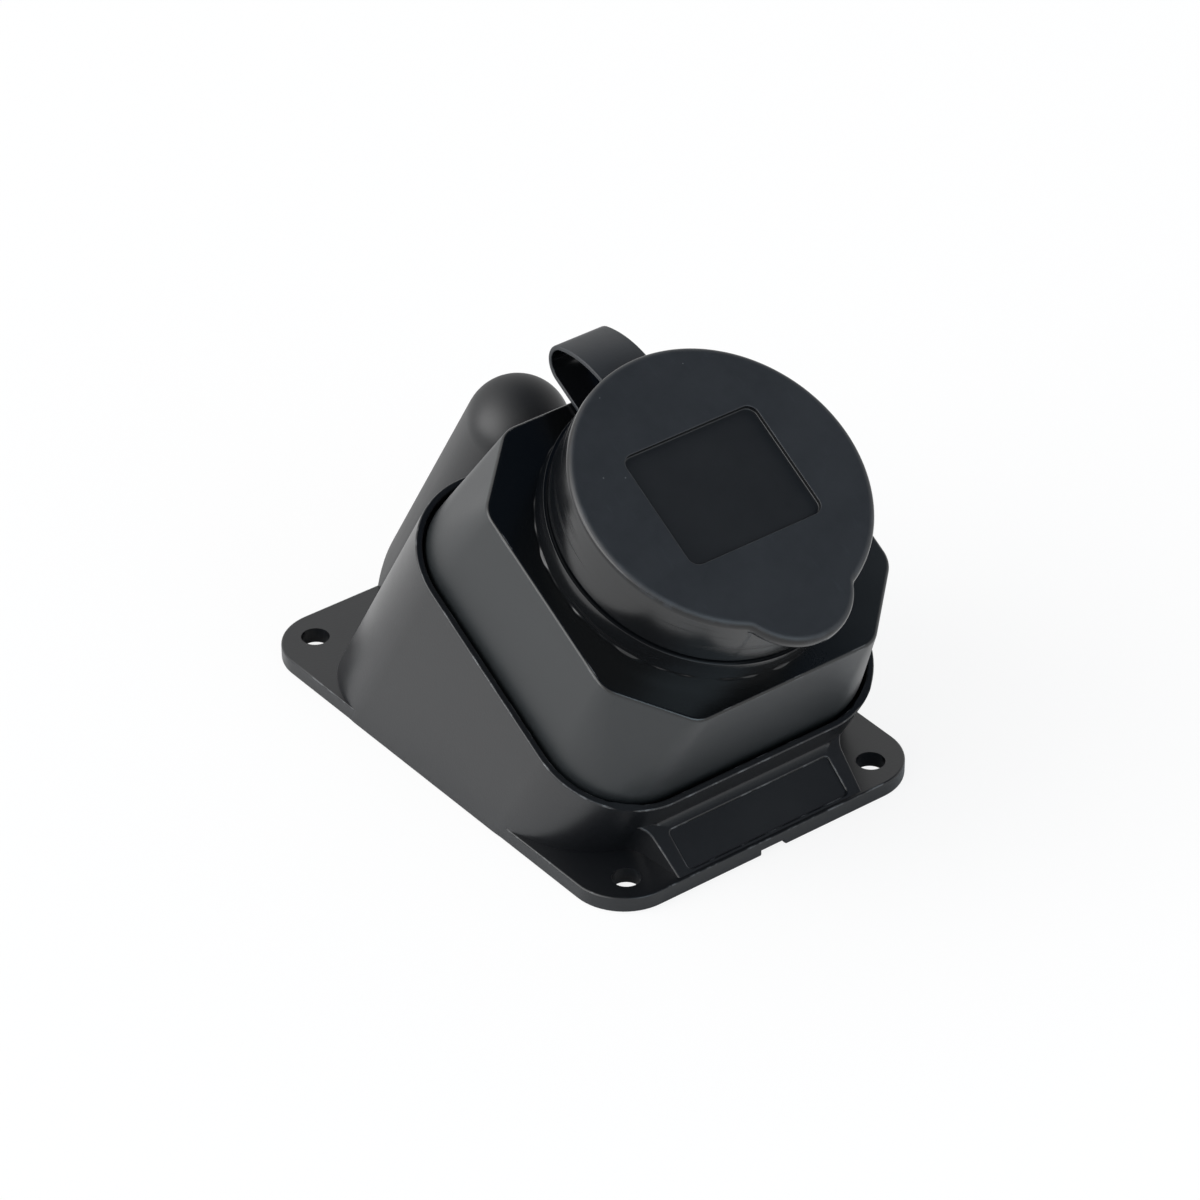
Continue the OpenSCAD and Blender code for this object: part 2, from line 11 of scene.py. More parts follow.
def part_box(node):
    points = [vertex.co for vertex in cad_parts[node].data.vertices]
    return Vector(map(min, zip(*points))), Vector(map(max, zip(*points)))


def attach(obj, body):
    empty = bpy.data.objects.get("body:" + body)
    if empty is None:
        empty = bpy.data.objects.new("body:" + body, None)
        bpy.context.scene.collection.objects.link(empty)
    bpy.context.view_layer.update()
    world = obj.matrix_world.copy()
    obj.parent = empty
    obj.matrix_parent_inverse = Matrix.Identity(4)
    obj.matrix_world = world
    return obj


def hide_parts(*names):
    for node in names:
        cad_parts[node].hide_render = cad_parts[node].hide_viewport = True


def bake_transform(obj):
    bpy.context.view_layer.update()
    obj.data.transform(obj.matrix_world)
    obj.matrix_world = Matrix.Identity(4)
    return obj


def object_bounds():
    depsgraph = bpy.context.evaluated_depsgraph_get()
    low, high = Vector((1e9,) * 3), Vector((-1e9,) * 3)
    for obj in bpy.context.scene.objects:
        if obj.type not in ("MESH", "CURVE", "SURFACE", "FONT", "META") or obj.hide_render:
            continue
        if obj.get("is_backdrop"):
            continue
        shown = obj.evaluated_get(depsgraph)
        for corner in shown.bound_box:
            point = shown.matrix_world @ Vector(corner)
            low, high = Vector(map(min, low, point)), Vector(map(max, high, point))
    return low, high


bl_info = {
    "name": "Angled Wall Socket",
    "version": (1, 0, 0),
    "blender": (4, 5, 0),
    "location": "3D View > Sidebar > Wall Socket",
    "description": "Builds the finished mouldings of a tilted, lidded wall socket",
    "category": "Add Mesh",
}

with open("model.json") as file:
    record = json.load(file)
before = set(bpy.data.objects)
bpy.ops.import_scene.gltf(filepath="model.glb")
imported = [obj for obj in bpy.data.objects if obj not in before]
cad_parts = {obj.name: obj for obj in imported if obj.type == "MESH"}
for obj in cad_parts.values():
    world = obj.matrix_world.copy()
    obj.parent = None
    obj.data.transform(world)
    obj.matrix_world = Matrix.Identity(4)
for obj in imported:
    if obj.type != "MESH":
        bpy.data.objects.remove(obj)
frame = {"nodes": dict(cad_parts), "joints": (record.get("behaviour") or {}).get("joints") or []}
CAD_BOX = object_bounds()
MM = 0.001
HINGE = Vector(frame["joints"][0]["pos_m"])

# Marks on a piece's points that the finishes read
BLOOM, POLISH_AND_SHADE, WEAR = "bloom", "polish", "wear"
# Edges that turn by less than this are shaded smooth
SMOOTH_TURN = math.radians(38)
# The smallest corner radius of an outline that shrinks
TIGHTEST = 0.2 * MM


def length(name, description, millimetres, lowest=0.0):
    """A size that the sidebar shows in the scene's units."""
    return bpy.props.FloatProperty(
        name=name, description=description, default=millimetres * MM, min=lowest,
        unit="LENGTH", subtype="DISTANCE", precision=5)


def degrees(name, description, default):
    """An angle that the sidebar shows in the scene's units."""
    return bpy.props.FloatProperty(
        name=name, description=description, default=math.radians(default),
        unit="ROTATION", subtype="ANGLE")


def tint(name, description, default):
    """A linear colour that the sidebar shows as a swatch."""
    return bpy.props.FloatVectorProperty(
        name=name, description=description, default=default, size=3,
        min=0.0, max=1.0, subtype="COLOR")


def share(name, description, default):
    """A plain factor from 0 to 1."""
    return bpy.props.FloatProperty(
        name=name, description=description, default=default,
        min=0.0, max=1.0, subtype="FACTOR")


def level(name, description, default, unit="NONE", lowest=0.0):
    """An amount with no upper limit, such as a lamp's power."""
    return bpy.props.FloatProperty(
        name=name, description=description, default=default, min=lowest, unit=unit)


class SocketSizes(bpy.types.PropertyGroup):
    """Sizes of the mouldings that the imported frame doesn't give"""

    tilt: degrees("Tilt", "Angle between the wall and the socket's face", 30)
    housing_edge: length("Housing edges", "Rounding of the housing's outer edges", 0.35)
    housing_half: length("Housing half", "Distance of the housing's front wall from its axis", 34.5)
    slope_fillet: length("Slope fillet", "Radius of the hollow above the slope", 0.6)
    hole_from_side: length("Hole from side", "Distance of the screw holes from the sides", 7.85)
    hole_from_end: length("Hole from end", "Distance of the screw holes from the plate's ends", 6.5)
    shell_rise: length("Shell rise", "Height of the face above the housing's rim", 23.1)
    shell_sink: length("Shell sink", "Depth of the shell below the rim", 5)
    shell_flare: length("Shell flare", "Lean of each side from the face to the rim", 1.6)
    shell_chamfer: length("Face chamfer", "Leg of the chamfers at the face's corners", 12.2)
    shell_trim: length("Face trim", "How much shorter the face is than wide, on each side", 0.4)
    shell_corner: length("Rim corner", "Corner radius of the shell at the rim", 14.5)
    face_corner: length("Face corner", "Rounding of the octagon's eight corners", 5)
    face_edge: length("Face edge", "Rounding round the octagonal face", 0.55)
    shell_wall: length("Shell wall", "Wall of the shell", 2.4)
    face_thickness: length("Face thickness", "Thickness of the face", 3)
    recess_radius: length("Recess radius", "Radius of the recess that takes the plug", 19.5)
    collar_radius: length("Collar radius", "Outer radius of the collar", 23.5)
    collar_height: length("Collar height", "Height of the collar above the face", 14)
    collar_drop: length("Collar drop", "Depth of the collar below the face", 6)
    ring_height: length("Ring height", "Height of the strap's ring", 5)
    ring_flash: length("Ring flash", "Width of the moulding flash round the ring's foot", 0.28)
    lid_wall: length("Lid wall", "Wall of the lid's skirt", 2.4)
    lid_top: length("Lid top", "Height of the lid's top above the face", 17.2)
    lid_thickness: length("Lid thickness", "Thickness of the lid's top", 2.2)
    lid_gap: length("Lid gap", "Gap between the lid's skirt and the ring", 0.3)
    lid_edge: length("Lid edge", "Rounding of the lid's edge", 1.2)
    tab_radius: length("Tab radius", "Radius of the pull tab", 12)
    tab_reach: length("Tab reach", "Reach of the tab past the lid", 4.5)
    tab_flare: length("Tab flare", "Radius of the curves beside the tab", 2)
    panel_width: length("Panel width", "Width of the lid's sunken panel", 28)
    panel_length: length("Panel length", "Length of the sunken panel", 22.5)
    panel_depth: length("Panel depth", "Depth of the sunken panel", 0.9)
    panel_corner: length("Panel corner", "Corner radius of the panel", 2)
    strap_thickness: length("Strap thickness", "Thickness of the strap", 0.9)
    strap_fold: length("Strap fold", "Outer radius of the strap's fold", 4)
    strap_arch: length("Strap arch", "Outer radius of the arched upper leg", 20)
    strap_turn: degrees("Strap turn", "Angle at which the fold passes into the arch", 48)
    strap_edge: length("Strap edge", "Rounding of the strap's edges", 0.25)
    inner_edge: length("Inner edges", "Rounding of the carrier, contacts and grommet", 0.2)


class SocketColours(bpy.types.PropertyGroup):
    """Colours and sheens of the finishes"""

    housing: tint("Housing", "Satin black of the housing", (0.0040, 0.0047, 0.0060))
    shell: tint("Shell", "Satin black of the socket shell", (0.0100, 0.0121, 0.0136))
    rubber: tint("Lid rubber", "Matte rubber of lid and strap", (0.0109, 0.0133, 0.0168))
    seal: tint("Seal rubber", "Rubber of gasket and grommet", (0.020, 0.021, 0.022))
    carrier: tint("Carrier", "Off-white of the contact carrier", (0.66, 0.63, 0.56))
    brass: tint("Brass", "Stamped brass of the contacts", (0.72, 0.50, 0.20))
    steel: tint("Steel", "Zinc-plated steel of the screws", (0.60, 0.61, 0.63))
    floor: tint("Floor", "Pale studio floor", (0.93, 0.93, 0.93))
    hump_sheen: share("Hump roughness", "Roughness of the cable hump's dull crown", 0.60)
    housing_sheen: share("Housing roughness", "Roughness of the housing's plastic", 0.34)
    shell_sheen: share("Shell roughness", "Roughness of the shell's grained sides", 0.42)
    face_sheen: share("Face roughness", "Roughness of the face where it is polished", 0.22)
    rubber_sheen: share("Rubber roughness", "Roughness of bloomed rubber", 0.50)
    clean_sheen: share("Clean roughness", "Roughness of clean rubber", 0.18)


class StudioSettings(bpy.types.PropertyGroup):
    """The camera and the studio's light"""

    azimuth: degrees("Azimuth", "Turn of the camera round the object", -38.01)
    elevation: degrees("Elevation", "Height of the camera above the horizon", 34.51)
    distance: length("Distance", "Distance of the camera", 966.4)
    lens: level("Lens", "Focal length on a 36 mm sensor", 163.65, "CAMERA", lowest=20.0)
    offset_right: length("Offset right", "Camera's offset to the right", 2.04, lowest=-1.0)
    offset_up: length("Offset up", "Camera's offset upwards", 19.74, lowest=-1.0)
    key_power: level("Key light", "Power of the large lamp at the back left", 3.4, "POWER")
    fill_power: level("Fill light", "Power of the lamp at the front", 2.4, "POWER")
    floor_white: share("Floor white", "Share of white in the floor that camera and gloss see", 0.86)
    floor_shade: length("Floor shade", "Width of the shade that gloss sees round the plate", 12)
    wall_glow: share("Wall glow", "Light of the studio's pale walls", 1.0)
    roof_glow: tint("Roof glow", "Light of the studio's dark, cool roof", (0.024, 0.040, 0.070))
    window_glow: level("Window glow", "Extra light of the soft window at the left", 3.2)


class Signal:
    """A socket of a node tree; arithmetic on it adds Math nodes."""

    def __init__(self, wiring, socket):
        self.wiring = wiring
        self.socket = socket

    def maths(self, operation, first, second):
        return self.wiring.node(
            "ShaderNodeMath", {"operation": operation}, {0: first, 1: second})

    def swing(self, amount):
        """A pattern of 0 to 1, centred on 0 and scaled."""
        return (self - 0.5) * amount

    def __add__(self, other):
        return self.maths("ADD", self, other)

    __radd__ = __add__

    def __sub__(self, other):
        return self.maths("SUBTRACT", self, other)

    def __rsub__(self, other):
        return self.maths("SUBTRACT", other, self)

    def __mul__(self, other):
        return self.maths("MULTIPLY", self, other)

    def __truediv__(self, other):
        return self.maths("DIVIDE", self, other)

    def __lt__(self, other):
        return self.maths("LESS_THAN", self, other)


class Wiring:
    """A node tree being written."""

    def __init__(self, tree):
        self.tree = tree

    def node(self, kind, settings=None, sockets=None, output=0):
        """Adds a node, sets it up, then fills its sockets with values or links."""
        made = self.tree.nodes.new(kind)
        for key, value in (settings or {}).items():
            setattr(made, key, value)
        for key, value in (sockets or {}).items():
            for one in value if isinstance(value, list) else [value]:
                if isinstance(one, Signal):
                    self.tree.links.new(one.socket, made.inputs[key])
                else:
                    made.inputs[key].default_value = one
        return Signal(self, made.outputs[output]) if len(made.outputs) else None


class Finish(Wiring):
    """The node tree of a material or of the studio's world."""

    def __init__(self, owner, space="Object"):
        owner.use_nodes = True
        super().__init__(owner.node_tree)
        self.tree.nodes.clear()
        self.place = self.node("ShaderNodeTexCoord", output=space)

    def mark(self, title):
        """One of the marks on the piece's points."""
        return self.node("ShaderNodeAttribute", {"attribute_name": title}, output="Fac")

    def noise(self, scale, detail=2.0, roughness=0.5, place=None):
        return self.node("ShaderNodeTexNoise", {}, {
            "Vector": place or self.place, "Scale": scale, "Detail": detail,
            "Roughness": roughness})

    def streaks(self, scale, detail=2.0, rotation=(0.0, 0.0, 0.0), kind="POINT"):
        """Noise with a scale of its own along each axis."""
        place = self.node("ShaderNodeMapping", {"vector_type": kind}, {
            "Vector": self.place, "Rotation": rotation, "Scale": scale})
        return self.noise(1.0, detail, place=place)

    def blend(self, amount, first, second):
        """A colour between two others."""
        return self.node("ShaderNodeMix", {"data_type": "RGBA"}, {
            0: amount, 6: first, 7: second}, 2)

    def tones(self, pattern, colour, darkest, palest):
        """A colour that a pattern makes darker and paler."""
        return self.blend(pattern, shade(colour, darkest), shade(colour, palest))

    def steps(self, value, low, high):
        """0 below low, 1 above high and smooth between."""
        return self.node("ShaderNodeMapRange", {"interpolation_type": "SMOOTHSTEP"}, {
            "Value": value, "From Min": low, "From Max": high})

    def bump(self, strength, depth, height):
        return self.node("ShaderNodeBump", {}, {
            "Strength": strength, "Distance": depth, "Height": height})

    def surface(self, sockets):
        shader = self.node("ShaderNodeBsdfPrincipled", {}, sockets)
        self.node("ShaderNodeOutputMaterial", {}, {"Surface": shader})


def shade(colour, factor):
    """A colour made darker or lighter, with its alpha."""
    return (*(min(1.0, c * factor) for c in colour), 1.0)


def dust_specks(finish, spacing, size, few):
    """Tiny pale specks: one in some cells of a fine Voronoi pattern."""
    cells = {"Vector": finish.place, "Scale": 1.0 / spacing}
    near = finish.node("ShaderNodeTexVoronoi", {}, cells, "Distance")
    pick = finish.node("ShaderNodeTexWhiteNoise", {"noise_dimensions": "3D"}, {
        "Vector": finish.node("ShaderNodeTexVoronoi", {}, cells, "Position")}, "Value")
    return (near < size / spacing) * (pick < few)


def edge_wear(finish):
    """Broken patches along the marked edges of a piece."""
    patches = finish.noise(scale=260.0, detail=4.0, roughness=0.65)
    return finish.steps(finish.mark(WEAR), 0.4, 0.9) * finish.steps(patches, 0.50, 0.66)


def moulded_plastic(name, colour, roughness, polished, painted_shade, gloss, grain_depth):
    """Satin black plastic: eroded grain, smoother and with painted shade where marked, some dust.
    """
    dust_colour, worn_colour = (0.5, 0.5, 0.5, 1.0), (0.20, 0.21, 0.22, 1.0)
    finish = Finish(bpy.data.materials.new(name))
    # The mark makes the plastic smoother and also darkens its colour as painted shade.
    smooth = finish.mark(POLISH_AND_SHADE)
    cloud = finish.noise(scale=70.0, detail=3.0, roughness=0.55)
    flow = finish.streaks(scale=(260.0, 90.0, 260.0))
    grain = finish.noise(scale=2600.0, detail=2.0, roughness=0.6)
    dust = dust_specks(finish, spacing=2.6 * MM, size=0.10 * MM, few=0.07)
    rubbed = edge_wear(finish)
    tone = cloud * 0.5 + grain * 0.3 + flow * 0.2
    base = finish.tones(tone, colour, darkest=0.72, palest=1.3)
    # Painted shade: the colour turns towards black where the mark is high.
    base = finish.blend(smooth * painted_shade, base, (0.0, 0.0, 0.0, 1.0))
    base = finish.blend(dust * 0.10, base, dust_colour)
    base = finish.blend(rubbed * 0.35, base, worn_colour)
    worn = smooth * (polished - roughness) + roughness + rubbed * 0.10
    finish.surface({
        "Base Color": base, "Specular IOR Level": gloss,
        "Roughness": worn + cloud.swing(0.10) + grain.swing(0.06),
        "Normal": finish.bump(0.35, grain_depth, grain + flow * 0.3)})


def moulded_rubber(name, colour, roughness, cleaner, tilt):
    """Rubber: glossy with scuffs round the lid where clean, grey and dusty where it bloomed."""
    dust_colour = (0.5, 0.52, 0.54, 1.0)
    finish = Finish(bpy.data.materials.new(name))
    grown = finish.mark(BLOOM)
    cloud = finish.noise(scale=120.0, detail=4.0, roughness=0.62)
    mottle = finish.noise(scale=620.0, detail=3.0, roughness=0.6)
    grain = finish.noise(scale=2900.0, detail=2.0, roughness=0.6)
    rubbed = finish.steps(finish.streaks(
        scale=(900.0, 110.0, 300.0), rotation=(0.0, 0.0, 0.5)), 0.62, 0.80)
    round_lid = finish.streaks(
        scale=(22 * MM, 22 * MM, 1.3 * MM), rotation=(tilt, 0.0, 0.0), kind="TEXTURE")
    scuffs = (grown < 0.1) * finish.steps(round_lid, 0.50, 0.75)
    dust = dust_specks(finish, spacing=2.2 * MM, size=0.13 * MM, few=0.10)
    tone = cloud * 0.45 + mottle * 0.35 + grain * 0.20
    clean = finish.tones(tone, colour, darkest=0.14, palest=0.28)
    bloom = finish.tones(tone, colour, darkest=0.62, palest=1.42)
    bloom = finish.blend(rubbed * 0.25, bloom, shade(colour, 2.2))
    base = finish.blend(grown, clean, bloom)
    base = finish.blend(edge_wear(finish) * 0.4, base, shade(colour, 2.0))
    base = finish.blend(dust * (0.04 + grown * 0.12), base, dust_colour)
    dull = finish.steps(grown, 0.0, 0.4)
    worn = dull * (roughness - cleaner) + cleaner + scuffs * 0.16
    uneven = cloud.swing(grown * 0.09 + 0.05) + mottle.swing(grown * 0.08)
    height = (grain + mottle * 0.8) * (grown * 0.75 + 0.25)
    finish.surface({
        "Base Color": base, "Roughness": worn + uneven,
        "Normal": finish.bump(0.4, 0.04 * MM, height)})


def thermoset(name, colour):
    """Off-white pressed thermoset with a faint fleck."""
    finish = Finish(bpy.data.materials.new(name))
    cloud = finish.noise(scale=90.0, detail=3.0)
    fleck = finish.noise(scale=1500.0, detail=2.0, roughness=0.7)
    finish.surface({
        "Base Color": finish.tones(cloud * 0.6 + fleck * 0.4, colour, darkest=0.84, palest=1.1),
        "Roughness": 0.42 + fleck.swing(0.14),
        "Normal": finish.bump(0.3, 0.03 * MM, fleck)})


def plated_metal(name, colour, roughness, streak):
    """Metal with rolling streaks along the strip and a patchy tarnish."""
    finish = Finish(bpy.data.materials.new(name))
    lines = finish.streaks(scale=streak, detail=3.0)
    tarnish = finish.noise(scale=240.0, detail=4.0, roughness=0.6)
    finish.surface({
        "Base Color": finish.tones(tarnish, colour, darkest=0.62, palest=1.12),
        "Metallic": 1.0, "Roughness": roughness + tarnish.swing(0.16) + lines.swing(0.14),
        "Normal": finish.bump(0.25, 0.02 * MM, lines)})


def finishes(context):
    """The named finishes, made once for the scene."""
    c = context.scene.socket_colours
    if "housing_satin" not in bpy.data.materials:
        moulded_plastic("housing_satin", c.housing, c.hump_sheen, c.housing_sheen,
                        painted_shade=0.0, gloss=0.50, grain_depth=0.035 * MM)
        # The shell's face gets painted shade through its mark, darker towards its left.
        moulded_plastic("shell_satin", c.shell, c.shell_sheen, c.face_sheen,
                        painted_shade=0.8, gloss=0.55, grain_depth=0.022 * MM)
        tilt = context.scene.socket_sizes.tilt
        for name, colour in (("bloomed_rubber", c.rubber), ("soft_rubber", c.seal)):
            moulded_rubber(name, colour, c.rubber_sheen, c.clean_sheen, tilt)
        thermoset("carrier_thermoset", c.carrier)
        plated_metal("stamped_brass", c.brass, 0.30, (300.0, 300.0, 3000.0))
        plated_metal("screw_zinc", c.steel, 0.34, (1800.0, 300.0, 300.0))
    return bpy.data.materials


class Face:
    """The tilted face's own directions: u across, v up the face and h out of it."""

    def __init__(self, sizes):
        sine, cosine = math.sin(sizes.tilt), math.cos(sizes.tilt)
        self.up = Vector((0.0, cosine, sine))
        self.out = Vector((0.0, -sine, cosine))
        low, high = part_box("lid_ring")
        self.centre = (low + high) / 2 - self.out * sizes.ring_height / 2

    def point(self, u, v, h):
        return self.centre + Vector((u, 0.0, 0.0)) + self.up * v + self.out * h

    def plane(self, point):
        """(v, h) of a point."""
        offset = Vector(point) - self.centre
        return offset.dot(self.up), offset.dot(self.out)

    def loop(self, outline, h):
        return [self.point(u, v, h) for u, v in outline]


def circle(radius, angles):
    return [(radius * math.cos(a), radius * math.sin(a)) for a in angles]


def spread(first, last, count):
    """Even steps from the first value to the last."""
    return [first + (last - first) * i / count for i in range(count + 1)]


def even_angles(count):
    return [math.tau * i / count for i in range(count)]


def soft_octagon(u, v, chamfer, radius, arc=8, flat=6):
    """An octagon with half widths u and v and rounded corners, as a list of points."""
    corners = [(u, v - chamfer), (u - chamfer, v), (chamfer - u, v), (-u, v - chamfer),
               (-u, chamfer - v), (chamfer - u, -v), (u - chamfer, -v), (u, chamfer - v)]
    eighth = math.pi / 4
    reach = radius / (1 + math.cos(eighth))
    arcs = []
    for k, (x, y) in enumerate(corners):
        first, last = eighth * k, eighth * (k + 1)
        x -= reach * (math.cos(first) + math.cos(last))
        y -= reach * (math.sin(first) + math.sin(last))
        arcs.append([(x + du, y + dv) for du, dv in circle(radius, spread(first, last, arc))])
    outline = []
    for points, following in zip(arcs, arcs[1:] + arcs[:1]):
        (x0, y0), (x1, y1) = points[-1], following[0]
        outline += points
        outline += list(zip(spread(x0, x1, flat), spread(y0, y1, flat)))[1:-1]
    return outline


def quarter(radius, count=5):
    """(inset, drop) pairs round a quarter circle, from the wall to the top."""
    return [(radius * (1 - math.cos(a)), radius * (1 - math.sin(a)))
            for a in spread(0.0, math.pi / 2, count)]


def skin(bm, loops, closed=False):
    """Quads between equal loops of points; points that coincide are merged later."""
    rows = [[bm.verts.new(p) for p in loop] for loop in loops]
    pairs = list(zip(rows, rows[1:])) + ([(rows[-1], rows[0])] if closed else [])
    for first, second in pairs:
        for i, corner in enumerate(first):
            j = (i + 1) % len(first)
            bm.faces.new((corner, first[j], second[j], second[i]))


def block(bm, face, low, high, rounding):
    """A box in the face's directions with rounded edges."""
    corners = [face.point(u, v, h) for u in (low[0], high[0])
               for v in (low[1], high[1]) for h in (low[2], high[2])]
    made = [bm.verts.new(p) for p in corners]
    sides = [(0, 1, 3, 2), (4, 6, 7, 5), (0, 4, 5, 1), (2, 3, 7, 6), (0, 2, 6, 4), (1, 5, 7, 3)]
    faces = [bm.faces.new([made[i] for i in side]) for side in sides]
    edges = list({edge for one in faces for edge in one.edges})
    bmesh.ops.bevel(bm, geom=edges, offset=rounding, segments=3, profile=0.5, affect="EDGES")


def turned(bm, face, profile, count, at):
    """A closed (radius, height) profile turned about an axis out of the face."""
    skin(bm, [face.loop([(at[0] + x, at[1] + y) for x, y in circle(r, even_angles(count))], h)
              for r, h in profile], closed=True)


def added(name, data):
    """A new object of the scene."""
    made = bpy.data.objects.new(name, data)
    bpy.context.scene.collection.objects.link(made)
    return made


def evaluated(made, name):
    """The mesh of an object with its modifiers applied. The object itself goes."""
    graph = bpy.context.evaluated_depsgraph_get()
    mesh = bpy.data.meshes.new_from_object(made.evaluated_get(graph), depsgraph=graph)
    mesh.name = name
    bpy.data.objects.remove(made)
    return mesh


def piece_of(mesh, name, material, smooth_turn=SMOOTH_TURN):
    """A finished object of a mesh, smooth below an angle or shaded as it is."""
    mesh.materials.clear()
    mesh.materials.append(material)
    if smooth_turn:
        mesh.shade_smooth()
        mesh.set_sharp_from_angle(angle=smooth_turn)
    return added(name, mesh)


def piece_from(bm, name, material):
    """The finished object of a bmesh: merged, closed, facing outwards and smooth."""
    bmesh.ops.remove_doubles(bm, verts=bm.verts, dist=1e-7)
    bmesh.ops.dissolve_degenerate(bm, dist=1e-8, edges=bm.edges)
    bmesh.ops.recalc_face_normals(bm, faces=bm.faces)
    mesh = bpy.data.meshes.new(name)
    bm.to_mesh(mesh)
    bm.free()
    return piece_of(mesh, name, material)


def cleaned(node):
    """A plain copy of a solid's mesh with its triangles merged into larger faces."""
    bm = bmesh.new()
    bm.from_mesh(frame["nodes"][node].data)
    bmesh.ops.remove_doubles(bm, verts=bm.verts, dist=2e-5)
    bmesh.ops.dissolve_degenerate(bm, dist=2e-6, edges=bm.edges)
    bmesh.ops.dissolve_limit(
        bm, angle_limit=math.radians(0.3), use_dissolve_boundaries=False,
        verts=bm.verts, edges=bm.edges)
    mesh = bpy.data.meshes.new(node + "_copy")
    bm.to_mesh(mesh)
    bm.free()
    return mesh


def rounded(mesh, name, radius_of, angle):
    """The mesh with rounded edges; radius_of gives the radius of each edge, or 0."""
    if "custom_normal" in mesh.attributes:
        mesh.attributes.remove(mesh.attributes["custom_normal"])
    bm = bmesh.new()
    bm.from_mesh(mesh)
    radii = [radius_of(edge) if edge.is_manifold else 0.0 for edge in bm.edges]
    widest = max(radii)
    weight = bm.edges.layers.float.get("bevel_weight_edge")
    weight = weight or bm.edges.layers.float.new("bevel_weight_edge")
    for edge, radius in zip(bm.edges, radii):
        edge[weight] = radius / widest
    surface = BVHTree.FromBMesh(bm)
    bm.to_mesh(mesh)
    bm.free()
    mesh.shade_smooth()
    mesh.set_sharp_from_angle(angle=angle)
    made = added(mesh.name, mesh)
    ease = made.modifiers.new("rounded_edges", "BEVEL")
    ease.width = widest
    ease.segments = 3
    ease.limit_method = "WEIGHT"
    ease.use_clamp_overlap = False
    ease.harden_normals = True
    done = evaluated(made, name)
    for vertex in done.vertices:
        place, _, _, gap = surface.find_nearest(vertex.co)
        if gap > widest:
            vertex.co = place
    return done


def eased_copy(node, name, material, rounding, angle=math.radians(24), keep_sharp=None,
               hollow=None):
    """A merged copy of a solid's mesh with its outer edges and some hollow ones rounded."""
    def outer(edge):
        convex = edge.calc_face_angle_signed() > angle
        return rounding if convex and not (keep_sharp and keep_sharp(edge)) else 0.0

    def inner(edge):
        return hollow(edge) if edge.calc_face_angle_signed() < -angle else 0.0

    mesh = cleaned(node)
    if hollow:
        mesh = rounded(mesh, name + "_hollows", inner, angle)
    return piece_of(rounded(mesh, name, outer, angle), name, material, smooth_turn=None)


def marked(made, title, amount):
    """Gives each point of a piece a mark, from its place and its normal."""
    marks = made.data.attributes.new(title, "FLOAT", "POINT")
    for vertex, mark in zip(made.data.vertices, marks.data):
        mark.value = amount(vertex.co, vertex.normal)


def edges_marked(made):
    """Marks the points on a piece's rounded outer edges, where it wears."""
    least, most, largest_face = math.radians(17), math.radians(37.4), 15 * MM * MM
    bm = bmesh.new()
    bm.from_mesh(made.data)
    values = []
    for vertex in bm.verts:
        steepest = max(edge.calc_face_angle_signed(0.0) for edge in vertex.link_edges)
        widest = max(one.calc_area() for one in vertex.link_faces)
        values.append(float(least < steepest < most and widest < largest_face))
    bm.free()
    made.data.attributes.new(WEAR, "FLOAT", "POINT").data.foreach_set("value", values)


def declare(made, body, slot, *nodes):
    """Hangs a finished piece on its body and hides the solids it replaces."""
    if body:
        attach(made, body)
    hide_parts(*nodes)


class SOCKET_OT_housing(bpy.types.Operator):
    """Moulds the wall plate, the tilted housing, its front slope and the cable hump"""

    bl_idname = "socket.housing"
    bl_label = "Housing"

    def execute(self, context):
        s = context.scene.socket_sizes
        face = Face(s)
        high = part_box("wall_housing")[1]
        hole_reach, near_wall = 3 * MM, 0.15 * MM
        hump_from, hump_foot = s.housing_half + 0.2 * MM, 4 * MM

        def middle(edge):
            return (edge.verts[0].co + edge.verts[1].co) / 2

        def screw_hole(edge):
            """The rims of the four wall screw holes stay sharp."""
            place = middle(edge)
            off = Vector((high.x - abs(place.x) - s.hole_from_side,
                          high.y - abs(place.y) - s.hole_from_end))
            return off.length < hole_reach

        def above_slope(edge):
            """The hollow where the front slope meets the housing's front wall."""
            v, _ = face.plane(middle(edge))
            return s.slope_fillet if abs(v + s.housing_half) < near_wall else 0.0

        def rubbed_smooth(point, normal):
            """Smooth all over, and duller towards the crown of the hump."""
            on_hump = face.plane(point)[0] >= hump_from and point.z >= hump_foot
            return normal.x ** 2 if on_hump else 1.0

        made = eased_copy(
            "wall_housing", "housing_moulding", finishes(context)["housing_satin"],
            s.housing_edge, keep_sharp=screw_hole, hollow=above_slope)
        marked(made, POLISH_AND_SHADE, rubbed_smooth)
        edges_marked(made)
        declare(made, "housing", "housing_plastic", "wall_housing")
        return {"FINISHED"}


